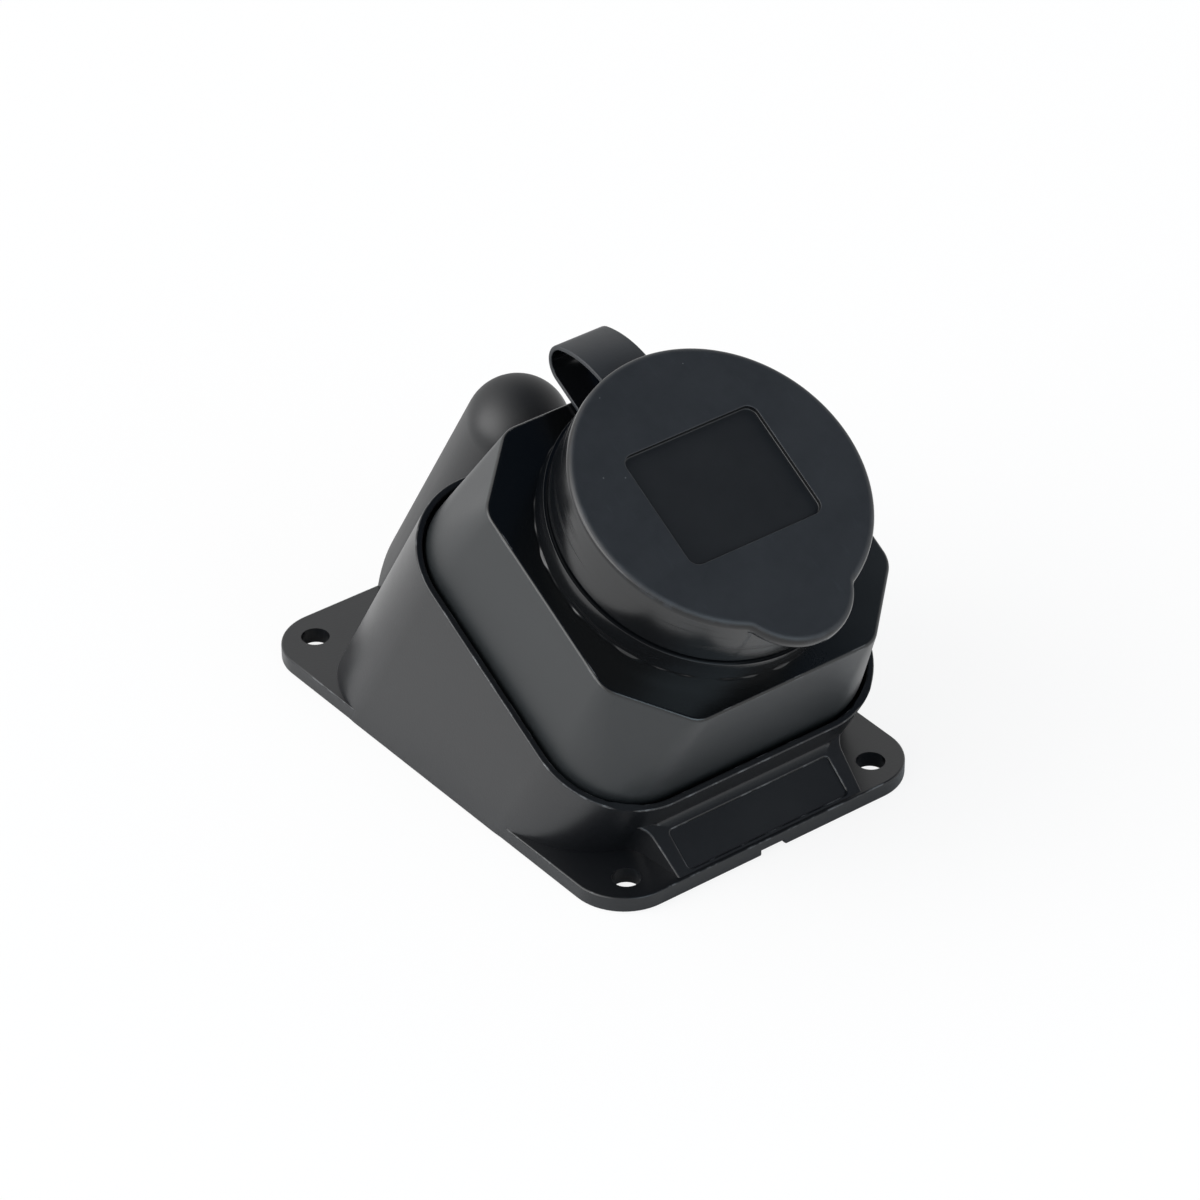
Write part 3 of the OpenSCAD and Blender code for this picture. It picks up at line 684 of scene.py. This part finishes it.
class SOCKET_OT_shell(bpy.types.Operator):
    """Lofts the socket shell from its octagonal face to the housing's rim"""

    bl_idname = "socket.shell"
    bl_label = "Socket shell"

    def execute(self, context):
        s = context.scene.socket_sizes
        face = Face(s)
        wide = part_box("socket_shell")[1].x - s.shell_flare
        long = wide - s.shell_trim
        corner_leg = 2 - math.sqrt(2)
        square_chamfer = s.shell_corner * corner_leg
        holding, climb = 0.15 * MM, 14
        fillet, lip = 0.5 * MM, 0.8 * MM
        # Mark at the middle of the face: smoothness and painted shade.
        middle_polish_and_shade = 0.95

        def section(h, inset=0.0):
            """The shell's outline at a height, shrunk by an inset."""
            t = min(1.0, max(0.0, -h / s.shell_rise))
            corner = s.face_corner + (s.shell_corner - s.face_corner) * t
            chamfer = s.shell_chamfer + (square_chamfer - s.shell_chamfer) * t
            flare = s.shell_flare * t - inset
            return soft_octagon(wide + flare, long + flare, chamfer - inset * corner_leg,
                                max(corner - inset, TIGHTEST))

        def rubbed_smooth(point, normal):
            """The face is smooth with painted shade at its left, and as dull and as light as the
            sides at its right.
            """
            on_face = face.plane(point)[1] > -s.face_edge / 2
            return on_face * min(1.0, max(0.0, middle_polish_and_shade - point.x / wide))

        bottom, inner_top = -(s.shell_rise + s.shell_sink), -s.face_thickness
        loops = [face.loop(section(bottom, s.face_edge), bottom),
                 face.loop(section(bottom), bottom + s.face_edge)]
        loops += [face.loop(section(h), h)
                  for h in spread(-s.shell_rise, -s.face_edge - holding, climb)]
        loops += [face.loop(section(-drop, inset), -drop) for inset, drop in quarter(s.face_edge)]
        rim = section(0.0, s.face_edge + holding)
        loops.append(face.loop(rim, 0.0))
        angles = [math.atan2(v, u) for u, v in rim]

        rounding = quarter(lip)
        wall_end = s.collar_height - lip - holding
        turn = [(s.collar_radius + fillet + holding, 0.0)]
        turn += [(s.collar_radius + drop, inset) for inset, drop in quarter(fillet)]
        turn += [(s.collar_radius, wall_end)]
        turn += [(s.collar_radius - inset, s.collar_height - drop) for inset, drop in rounding]
        turn += [(s.recess_radius + inset, s.collar_height - drop)
                 for inset, drop in reversed(rounding)]
        turn += [(s.recess_radius, wall_end), (s.recess_radius, -s.collar_drop),
                 (s.collar_radius, -s.collar_drop), (s.collar_radius, inner_top)]
        loops += [face.loop(circle(r, angles), h) for r, h in turn]
        loops += [face.loop(section(h, s.shell_wall), h) for h in (inner_top, bottom)]
        bm = bmesh.new()
        skin(bm, loops, closed=True)
        self.add_ribs(bm, face, s)
        self.add_posts(bm, face, s, long, bottom)
        made = piece_from(bm, "shell_moulding", finishes(context)["shell_satin"])
        # The mark smooths the face and darkens it towards its left as painted shade.
        marked(made, POLISH_AND_SHADE, rubbed_smooth)
        edges_marked(made)
        declare(made, "housing", "shell_plastic", "socket_shell")
        return {"FINISHED"}

    def add_ribs(self, bm, face, s):
        """The two guide ribs at the sides of the recess."""
        height, half, rooted, rounding = 1.8 * MM, 2.5 * MM, 0.5 * MM, 0.35 * MM
        low, high = -3.35 * MM, s.collar_height - 3 * MM
        for side in (-1, 1):
            ends = sorted((side * (s.recess_radius - height), side * (s.recess_radius + rooted)))
            block(bm, face, (ends[0], -half, low), (ends[1], half, high), rounding)

    def add_posts(self, bm, face, s, long, bottom):
        """The four hollow posts behind the face that take the shell's screws."""
        at, outer, bore, rounding = long - 10 * MM, 3.95 * MM, 1.5 * MM, 0.3 * MM
        depth, top, sides = bottom + 11 * MM, -s.face_thickness / 2, 32
        profile = [(bore + rounding, bottom), (outer - rounding, bottom),
                   (outer, bottom + rounding), (outer, top), (0.0, top), (0.0, depth),
                   (bore, depth), (bore, bottom + rounding)]
        for u in (-at, at):
            for v in (-at, at):
                turned(bm, face, profile, sides, (u, v))


class SOCKET_OT_lid(bpy.types.Operator):
    """Moulds the lid with its skirt, pull tab and sunken panel"""

    bl_idname = "socket.lid"
    bl_label = "Lid"

    def outline(self, s, radius, angle):
        """Distance of the lid's edge from its centre in a direction, tab included."""
        ray = Vector((math.cos(angle), math.sin(angle)))
        tab = Vector((0.0, -(radius + s.tab_reach - s.tab_radius)))
        hollow = radius + s.tab_flare
        v = ((s.tab_radius + s.tab_flare) ** 2 - hollow ** 2 - tab.y ** 2) / (-2 * tab.y)
        u = math.sqrt(hollow ** 2 - v ** 2)
        flare = Vector((math.copysign(u, ray.x), v))
        edge = flare + (tab - flare).normalized() * s.tab_flare

        def lean(way):
            """Angle between a direction and the tab's."""
            return math.atan2(abs(way.x), -way.y)

        def crossing(centre, size, side):
            """Where the ray enters (-1) or leaves (1) a circle."""
            along = ray.dot(centre)
            return along + side * math.sqrt(
                max(0.0, along ** 2 - centre.length_squared + size ** 2))

        if lean(ray) <= lean(edge):
            return crossing(tab, s.tab_radius, 1)
        if lean(ray) <= lean(flare):
            return crossing(flare, s.tab_flare, -1)
        return radius

    def panel(self, s, angle, inset):
        """Distance of the sunken panel's edge from the lid's centre in a direction."""
        half_u, half_v = s.panel_width / 2 - inset, s.panel_length / 2 - inset
        corner = max(s.panel_corner - inset, TIGHTEST)
        x, y = abs(math.cos(angle)), abs(math.sin(angle))
        reach = min(half_u / x if x > 1e-9 else 1.0, half_v / y if y > 1e-9 else 1.0)
        cu, cv = half_u - corner, half_v - corner
        if reach * x > cu and reach * y > cv:
            along = x * cu + y * cv
            reach = along + math.sqrt(max(0.0, along ** 2 - cu ** 2 - cv ** 2 + corner ** 2))
        return reach

    def execute(self, context):
        s = context.scene.socket_sizes
        face = Face(s)
        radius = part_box("lid_cap")[1].x
        inner = radius - s.lid_wall
        under = s.lid_top - s.lid_thickness
        foot = s.ring_height + s.lid_gap
        floor = s.lid_top - s.panel_depth
        soft, holding, brow, margin = 0.35 * MM, 0.12 * MM, 0.2 * MM, 1.2 * MM
        cut = soft * 0.3
        faces_out, panel_bloom = 0.6, 0.3
        angles = even_angles(400)
        edge = [self.outline(s, radius, a) for a in angles]

        def loop(reach, h):
            return face.loop([(r * math.cos(a), r * math.sin(a)) for r, a in zip(reach, angles)], h)

        def ring(r, h):
            return loop([r] * len(angles), h)

        def frame_loop(inset, h, size=1.0):
            """A loop along the panel's edge."""
            return loop([self.panel(s, a, inset) * size for a in angles], h)

        def top_bloom(point, normal):
            """The lid's top bloomed, its panel less, and its sides not at all."""
            _, h = face.plane(point)
            if normal.dot(face.out) < faces_out or h < floor - holding:
                return 0.0
            return 1.0 if h > s.lid_top - s.panel_depth / 2 else panel_bloom

        foot_turn, brow_turn = quarter(soft, 4), quarter(brow, 4)
        loops = [ring(0.0, under), ring(inner - margin, under), ring(inner - soft, under),
                 ring(inner, under - soft), ring(inner, foot + soft),
                 ring(inner + cut, foot + cut), ring(inner + soft, foot), ring(radius - soft, foot)]
        loops += [ring(radius - inset, foot + drop) for inset, drop in reversed(foot_turn)]
        loops += [ring(radius, foot + soft + holding), ring(radius, under - holding)]
        loops += [loop([max(radius, r - inset) for r in edge], under + drop)
                  for inset, drop in reversed(foot_turn)]
        loops += [loop(edge, s.lid_top - s.lid_edge - holding)]
        loops += [loop([r - inset for r in edge], s.lid_top - drop)
                  for inset, drop in quarter(s.lid_edge)]
        loops += [loop([r - s.lid_edge - holding for r in edge], s.lid_top)]
        loops += [frame_loop(-brow - holding, s.lid_top)]
        loops += [frame_loop(-drop, s.lid_top - inset) for inset, drop in brow_turn]
        loops += [frame_loop(inset, floor + drop) for inset, drop in brow_turn]
        loops += [frame_loop(brow + holding, floor, size) for size in (1.0, 0.5, 0.0)]
        bm = bmesh.new()
        skin(bm, loops)
        made = piece_from(bm, "lid_moulding", finishes(context)["bloomed_rubber"])
        marked(made, BLOOM, top_bloom)
        edges_marked(made)
        declare(made, "lid", "lid_rubber", "lid_cap")
        return {"FINISHED"}


class SOCKET_OT_ring(bpy.types.Operator):
    """Turns the strap's ring with the uneven moulding flash round its foot"""

    bl_idname = "socket.ring"
    bl_label = "Strap ring"

    def execute(self, context):
        s = context.scene.socket_sizes
        face = Face(s)
        play, soft = 0.15 * MM, 0.06 * MM
        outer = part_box("lid_ring")[1].x
        inner = s.collar_radius + play
        angles = even_angles(300)
        waves = ((7, 0.6), (17, 2.1), (31, 0.0))
        mean, swing, most = 0.35, 0.45, 1.3
        flash_shape = ((0.0, 1.0), (0.10, 1.0), (0.26, 0.72), (0.36, 0.3), (0.46, 0.0), (0.7, 0.0))

        def flash(a):
            """The flash is wider in some places than in others, and broken between."""
            wave = sum(math.sin(count * a + start) for count, start in waves)
            return s.ring_flash * min(most, max(0.0, mean + swing * wave))

        profile = [(inner + soft, 0.0, 0.0)]
        profile += [(outer, h * MM, width) for h, width in flash_shape]
        profile += [(outer - a, s.ring_height - b, 0.0) for a, b in quarter(soft, 4)]
        profile += [(inner + a, s.ring_height - b, 0.0) for a, b in reversed(quarter(soft, 4))]
        profile += [(inner, soft, 0.0)]
        widths = [flash(a) for a in angles]
        loops = [face.loop([((r + w * width) * math.cos(a), (r + w * width) * math.sin(a))
                            for a, width in zip(angles, widths)], h) for r, h, w in profile]
        bm = bmesh.new()
        skin(bm, loops, closed=True)
        made = piece_from(bm, "lid_ring_moulding", finishes(context)["bloomed_rubber"])
        declare(made, "housing", "lid_rubber", "lid_ring")
        return {"FINISHED"}


class Weave(Wiring):
    """A geometry tree with named sizes that ends in real geometry with its material."""

    def __init__(self, name, *sizes):
        super().__init__(bpy.data.node_groups.new(name, "GeometryNodeTree"))
        kinds = {"Geometry": "Geometry", **dict.fromkeys(sizes, "Float"), "Material": "Material"}
        for title, kind in kinds.items():
            self.tree.interface.new_socket(
                title, in_out="INPUT", socket_type="NodeSocket" + kind)
        self.tree.interface.new_socket(
            "Geometry", in_out="OUTPUT", socket_type="NodeSocketGeometry")
        given = self.tree.nodes.new("NodeGroupInput").outputs
        self.given = {socket.name: Signal(self, socket) for socket in given}

    def vector(self, x=0.0, y=0.0, z=0.0):
        return self.node("ShaderNodeCombineXYZ", {}, {"X": x, "Y": y, "Z": z})

    def moved(self, geometry, **sockets):
        return self.node("GeometryNodeTransform", {}, {"Geometry": geometry, **sockets})

    def finish(self, geometry):
        """Ends the tree: real geometry with its material."""
        real = self.node("GeometryNodeRealizeInstances", {}, {"Geometry": geometry})
        dressed = self.node("GeometryNodeSetMaterial", {}, {
            "Geometry": real, "Material": self.given["Material"]})
        self.node("NodeGroupOutput", {}, {"Geometry": dressed})
        return self.tree


def woven(data, name, tree, sizes, material, smooth_turn=SMOOTH_TURN):
    """A plain mesh piece of a geometry tree on some data."""
    made = added(name + "_source", data)
    work = made.modifiers.new(tree.name, "NODES")
    work.node_group = tree
    values = {**sizes, "Material": material}
    for item in tree.interface.items_tree:
        if item.in_out == "INPUT" and item.name in values:
            work[item.identifier] = values[item.name]
    return piece_of(evaluated(made, name), name, material, smooth_turn)


class SOCKET_OT_strap(bpy.types.Operator):
    """Sweeps the rubber strap along its fold, in two halves"""

    bl_idname = "socket.strap"
    bl_label = "Lid strap"

    def sweep_tree(self):
        weave = Weave("strap_sweep", "Width", "Thickness", "Edge", "Step")
        given = weave.given
        path = weave.node("GeometryNodeResampleCurve", {"mode": "LENGTH"}, {
            "Curve": given["Geometry"], "Length": given["Step"]})
        section = weave.node("GeometryNodeCurvePrimitiveQuadrilateral", {}, {
            "Width": given["Width"], "Height": given["Thickness"]})
        section = weave.node("GeometryNodeFilletCurve", {"mode": "POLY"}, {
            "Curve": section, "Count": 4, "Radius": given["Edge"], "Limit Radius": True})
        return weave.finish(weave.node("GeometryNodeCurveToMesh", {}, {
            "Curve": path, "Profile Curve": section, "Fill Caps": True}))

    def path(self, name, points):
        curve = bpy.data.curves.new(name, "CURVE")
        curve.dimensions = "3D"
        spline = curve.splines.new("POLY")
        spline.points.add(len(points) - 1)
        for made, point in zip(spline.points, points):
            made.co = (*point, 1.0)
        return curve

    def execute(self, context):
        s = context.scene.socket_sizes
        face = Face(s)
        material = finishes(context)["bloomed_rubber"]
        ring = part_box("lid_ring")[1].x
        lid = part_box("lid_cap")[1].x
        fold_v, fold_h = face.plane(HINGE)
        buried, inside_lid, lean, steps = 0.5 * MM, 0.8 * MM, math.radians(32), 24
        middle = s.strap_fold - s.strap_thickness / 2
        shift = s.strap_arch - s.strap_fold
        arch_v = fold_v - shift * math.cos(s.strap_turn)
        arch_h = fold_h - shift * math.sin(s.strap_turn)
        root = math.acos((lid - inside_lid - arch_v) / (middle + shift))
        split = (s.strap_turn - math.pi / 2) / 2

        def on_fold(angle, reach=middle):
            return face.point(0, fold_v + reach * math.cos(angle), fold_h + reach * math.sin(angle))

        def on_arch(angle):
            reach = middle + shift
            return face.point(0, arch_v + reach * math.cos(angle), arch_h + reach * math.sin(angle))

        lower = [face.point(0, ring - buried, fold_h - middle)]
        lower += [on_fold(a) for a in spread(-math.pi / 2, split, steps)]
        upper = [on_fold(a) for a in spread(split, s.strap_turn, steps)]
        upper += [on_arch(a) for a in spread(s.strap_turn, root, steps)][1:]
        tree = self.sweep_tree()
        sizes = {"Width": 2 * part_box("lid_strap")[1].x, "Thickness": s.strap_thickness,
                 "Edge": s.strap_edge, "Step": 0.3 * MM}
        halves = [woven(self.path(name, points), name, tree, sizes, material)
                  for name, points in (("lid_strap_lower", lower), ("lid_strap_upper", upper))]
        seam = on_fold(split, s.strap_fold)

        def bent(angle, root):
            """Start and end of a bend whose middle lies at the seam."""
            along = face.up * math.cos(angle) + face.out * math.sin(angle)
            half = abs((seam - root).dot(along))
            return seam - along * half, seam + along * half

        def outer_bloom(point, normal):
            """The strap bloomed on the side that faces away from its fold."""
            return float((point - HINGE).dot(normal) > 0)

        lower_root = face.point(0, ring, fold_h - s.strap_fold + s.strap_thickness)
        bends = (bent(split + lean, lower_root), bent(split - lean + math.pi, upper[-1]))
        for half, (start, end) in zip(halves, bends):
            marked(half, BLOOM, outer_bloom)
            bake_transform(half)
            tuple(start)
            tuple(end)
            declare(half, None, "lid_rubber", "lid_strap")
        return {"FINISHED"}


class SOCKET_OT_screws(bpy.types.Operator):
    """Makes the screws of the shell, the carrier and the terminals"""

    bl_idname = "socket.screws"
    bl_label = "Screws"

    def screw_tree(self):
        """Cross-slot screws at points: shank, thread and a coned head behind the point."""
        core_share, tooth_share, thread_share, head_top, slot_reach = 0.80, 0.20, 0.97, 0.78, 1.3
        weave = Weave("cross_slot_screws", "Shank Radius", "Shank Length", "Head Radius",
                      "Head Height", "Slot Width", "Pitch", "Lean")
        given = weave.given
        radius, long = given["Shank Radius"], given["Shank Length"]
        head_radius, head_height = given["Head Radius"], given["Head Height"]
        core = radius * core_share
        shank = weave.node("GeometryNodeMeshCylinder", {}, {
            "Vertices": 24, "Radius": core, "Depth": long})
        shank = weave.moved(shank, Translation=weave.vector(z=long * 0.5))
        ridge = weave.node("GeometryNodeCurveSpiral", {}, {
            "Resolution": 20, "Rotations": long / given["Pitch"],
            "Start Radius": core, "End Radius": core, "Height": long * thread_share})
        tooth = weave.node("GeometryNodeCurvePrimitiveCircle", {}, {
            "Resolution": 4, "Radius": radius * tooth_share})
        ridge = weave.node("GeometryNodeCurveToMesh", {}, {
            "Curve": ridge, "Profile Curve": tooth, "Fill Caps": True})
        head = weave.node("GeometryNodeMeshCone", {}, {
            "Vertices": 40, "Side Segments": 1, "Radius Top": head_radius * head_top,
            "Radius Bottom": head_radius, "Depth": head_height})
        head = weave.moved(head, Rotation=(math.pi, 0.0, 0.0))
        bar = weave.node("GeometryNodeMeshCube", {}, {"Size": weave.vector(
            head_radius * slot_reach, given["Slot Width"], head_height)})
        behind = weave.vector(z=head_height * -1.0)
        slots = [weave.moved(bar, Rotation=(0.0, 0.0, turn), Translation=behind)
                 for turn in (0.0, math.pi / 2)]
        head = weave.node("GeometryNodeMeshBoolean", {"operation": "DIFFERENCE"}, {
            "Mesh 1": head, "Mesh 2": slots})
        screw = weave.node("GeometryNodeJoinGeometry", {}, {"Geometry": [shank, ridge, head]})
        points = weave.node("GeometryNodeMeshToPoints", {}, {"Mesh": given["Geometry"]})
        return weave.finish(weave.node("GeometryNodeInstanceOnPoints", {}, {
            "Points": points, "Instance": screw, "Rotation": weave.vector(x=given["Lean"])}))

    def execute(self, context):
        s = context.scene.socket_sizes
        face = Face(s)
        tree = self.screw_tree()
        material = finishes(context)["screw_zinc"]
        at, orbit, turn = 20.7 * MM, 21.5 * MM, math.radians(60)
        across, along = orbit * math.cos(turn), orbit * math.sin(turn)
        ledge, flange, clamp = -32.1 * MM, -9 * MM, -27.4 * MM
        pin, reach = 9.5 * MM, -7.8 * MM
        groups = (
            ("shell_screw_set", 2.9 * MM, 14 * MM, ledge, ("shell_screws",),
             [(u, v) for u in (-at, at) for v in (-at, at)]),
            ("carrier_screw_set", 2.2 * MM, 7.5 * MM, flange, ("carrier_screws",),
             [(across, along), (-across, -along)]),
            ("terminal_screw_set", 3.2 * MM, 8 * MM, clamp,
             ("live_terminal_screw", "neutral_terminal_screw", "earth_terminal_screw"),
             [(-pin, reach), (pin, reach), (0.0, 0.0)]),
        )
        shares = {"Shank Radius": 0.5, "Head Radius": 0.95, "Head Height": 0.65,
                  "Slot Width": 0.28, "Pitch": 0.32}
        for name, size, long, h, nodes, places in groups:
            mesh = bpy.data.meshes.new(name + "_places")
            mesh.from_pydata([face.point(u, v, h) for u, v in places], [], [])
            sizes = {title: part * size for title, part in shares.items()}
            sizes |= {"Shank Length": long, "Lean": s.tilt}
            made = woven(mesh, name, tree, sizes, material, math.radians(30))
            declare(made, "housing", "screw_steel", *nodes)
        return {"FINISHED"}


class SOCKET_OT_inner_parts(bpy.types.Operator):
    """Finishes the contact carrier, the contacts, the clamps and the seals"""

    bl_idname = "socket.inner_parts"
    bl_label = "Carrier, contacts and seals"

    def execute(self, context):
        s = context.scene.socket_sizes
        made = finishes(context)
        least_turn = math.radians(40)
        brass, zinc = ("stamped_brass", "contact_brass"), ("screw_zinc", "screw_steel")
        plastic, rubber = ("carrier_thermoset", "carrier_plastic"), ("soft_rubber", "seal_rubber")
        eased = (("contact_carrier", "carrier_moulding", *plastic),
                 ("earth_clip_strip", "earth_clip_stamping", *brass),
                 ("live_contact", "live_contact_stamping", *brass),
                 ("neutral_contact", "neutral_contact_stamping", *brass),
                 ("cable_grommet", "cable_grommet_moulding", *rubber))
        for node, name, finish, slot in eased:
            piece = eased_copy(node, name, made[finish], s.inner_edge, least_turn)
            declare(piece, "housing", slot, node)
        plain = {"carrier_cover": plastic, "shell_gasket": rubber,
                 "live_clamp": zinc, "neutral_clamp": zinc, "earth_clamp": zinc}
        for node, (finish, slot) in plain.items():
            solid = frame["nodes"][node]
            solid.data.materials.clear()
            solid.data.materials.append(made[finish])
        return {"FINISHED"}


class SOCKET_OT_studio(bpy.types.Operator):
    """Sets up the pale floor, the soft light and the camera"""

    bl_idname = "socket.studio"
    bl_label = "Studio"

    def beyond(self, finish, across, along):
        """How far a place lies outside a rectangle round the origin."""
        reach = finish.node("ShaderNodeVectorMath", {"operation": "ABSOLUTE"}, {0: finish.place})
        past = [finish.node("ShaderNodeSeparateXYZ", {}, {"Vector": reach}, axis) - half
                for axis, half in (("X", across), ("Y", along))]
        return finish.node("ShaderNodeMath", {"operation": "MAXIMUM"}, dict(enumerate(past)))

    def floor(self, colours, studio):
        """A floor that camera and gloss see as white, apart from the part under the socket."""
        below, radius = 0.15 * MM, 6.0
        side_strip, end_strip, shade_from = 13 * MM, 2 * MM, -1 * MM
        wide, long = CAD_BOX[1].x, CAD_BOX[1].y
        bm = bmesh.new()
        bmesh.ops.create_circle(bm, cap_ends=True, segments=96, radius=radius)
        bmesh.ops.translate(bm, verts=bm.verts, vec=(0.0, 0.0, -below))
        material = bpy.data.materials.new("studio_floor")
        finish = Finish(material)

        def ray(kind):
            return finish.node("ShaderNodeLightPath", output=kind)

        paper = finish.noise(scale=9.0, detail=2.0)
        base = finish.tones(paper, colours.floor, darkest=0.985, palest=1.0)
        plain = finish.node("ShaderNodeBsdfPrincipled", {}, {
            "Base Color": base, "Roughness": 0.9, "Specular IOR Level": 0.0})
        white = finish.node("ShaderNodeEmission", {}, {"Color": (1.0, 1.0, 1.0, 1.0)})
        away = finish.steps(self.beyond(finish, wide, long), shade_from, studio.floor_shade)
        hidden = self.beyond(finish, wide - side_strip, long - end_strip) < 0.0
        seen = (ray("Is Camera Ray") * (1.0 - hidden)
                + (ray("Is Glossy Ray") + ray("Is Transmission Ray")) * away)
        most = finish.node("ShaderNodeMath", {"operation": "MINIMUM"}, {0: seen, 1: 1.0})
        mixed = finish.node("ShaderNodeMixShader", {}, {
            0: most * studio.floor_white, 1: plain, 2: white})
        finish.node("ShaderNodeOutputMaterial", {}, {"Surface": mixed})
        piece_from(bm, "studio_floor", material)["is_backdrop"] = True

    def lamp(self, name, power, size, place, colour):
        """A round lamp that points at the socket."""
        aim = Vector((0.0, 0.0, 0.03))
        data = bpy.data.lights.new(name, "AREA")
        data.shape = "DISK"
        data.size = size
        data.energy = power
        data.color = colour
        made = added(name, data)
        made.location = place
        made.rotation_euler = (aim - Vector(place)).to_track_quat("-Z", "Y").to_euler()

    def world(self, context, studio):
        """Pale walls, a dark roof and a soft window at the left."""
        context.scene.world = bpy.data.worlds.new("studio_world")
        finish = Finish(context.scene.world, "Generated")

        def towards(direction):
            """How far the sky's direction points a given way, up to 1."""
            return finish.node("ShaderNodeVectorMath", {"operation": "DOT_PRODUCT"}, {
                0: finish.place, 1: Vector(direction).normalized()}, "Value")

        roof = finish.steps(towards((0.25, -0.10, 0.963)), 0.62, 0.88)
        window = finish.steps(towards((-0.92, 0.22, 0.30)), 0.70, 0.98)
        walls = (studio.wall_glow,) * 3
        glow = finish.blend(roof, (*walls, 1.0), (*studio.roof_glow, 1.0))
        light = finish.node("ShaderNodeBackground", {}, {
            "Color": glow, "Strength": 1.0 + window * studio.window_glow})
        finish.node("ShaderNodeOutputWorld", {}, {"Surface": light})

    def camera(self, context, studio):
        """A camera that looks at the socket from the photograph's side."""
        a, e = studio.azimuth, studio.elevation
        right = Vector((math.cos(a), math.sin(a), 0.0))
        back = Vector((math.sin(a) * math.cos(e), -math.cos(a) * math.cos(e), math.sin(e)))
        up = back.cross(right)
        data = bpy.data.cameras.new("photo_camera")
        data.sensor_width = 36.0
        data.lens = studio.lens
        made = added("photo_camera", data)
        place = right * studio.offset_right + up * studio.offset_up + back * studio.distance
        turn = Matrix((right, up, back)).transposed()
        made.matrix_world = Matrix.Translation(place) @ turn.to_4x4()
        context.scene.camera = made

    def execute(self, context):
        studio = context.scene.socket_studio
        self.floor(context.scene.socket_colours, studio)
        self.world(context, studio)
        self.lamp("key_lamp", studio.key_power, size=1.5, place=(-0.60, 0.60, 0.95),
                  colour=(1.0, 0.99, 0.97))
        self.lamp("fill_lamp", studio.fill_power, size=0.6, place=(0.0, -0.95, 0.50),
                  colour=(0.62, 0.84, 1.0))
        self.camera(context, studio)
        context.scene.view_settings.view_transform = "Standard"
        return {"FINISHED"}


class SOCKET_PT_builder(bpy.types.Panel):
    """Lists the socket's operators, sizes and colours"""

    bl_idname = "SOCKET_PT_builder"
    bl_label = "Wall Socket"
    bl_space_type = "VIEW_3D"
    bl_region_type = "UI"
    bl_category = "Wall Socket"

    def draw(self, context):
        for operator in OPERATORS:
            self.layout.operator(operator.bl_idname)
        for group in GROUPS:
            column = self.layout.box().column(align=True)
            settings = getattr(context.scene, group)
            for name in settings.__annotations__:
                column.prop(settings, name)


GROUPS = {"socket_sizes": SocketSizes, "socket_colours": SocketColours,
          "socket_studio": StudioSettings}
OPERATORS = (SOCKET_OT_studio, SOCKET_OT_housing, SOCKET_OT_shell, SOCKET_OT_ring,
             SOCKET_OT_lid, SOCKET_OT_strap, SOCKET_OT_screws, SOCKET_OT_inner_parts)


def register():
    for name, group in GROUPS.items():
        bpy.utils.register_class(group)
        setattr(bpy.types.Scene, name, bpy.props.PointerProperty(type=group))
    for operator in OPERATORS:
        bpy.utils.register_class(operator)
    bpy.utils.register_class(SOCKET_PT_builder)


def unregister():
    bpy.utils.unregister_class(SOCKET_PT_builder)
    for operator in reversed(OPERATORS):
        bpy.utils.unregister_class(operator)
    for name, group in GROUPS.items():
        delattr(bpy.types.Scene, name)
        bpy.utils.unregister_class(group)


def main():
    register()
    bpy.ops.socket.studio()
    bpy.ops.socket.housing()
    bpy.ops.socket.shell()
    bpy.ops.socket.ring()
    bpy.ops.socket.lid()
    bpy.ops.socket.strap()
    bpy.ops.socket.screws()
    bpy.ops.socket.inner_parts()
    boxes = {"cad": CAD_BOX, "visual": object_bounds()}
    {name: [list(low), list(high)] for name, (low, high) in boxes.items()}


if __name__ == "__main__":
    main()
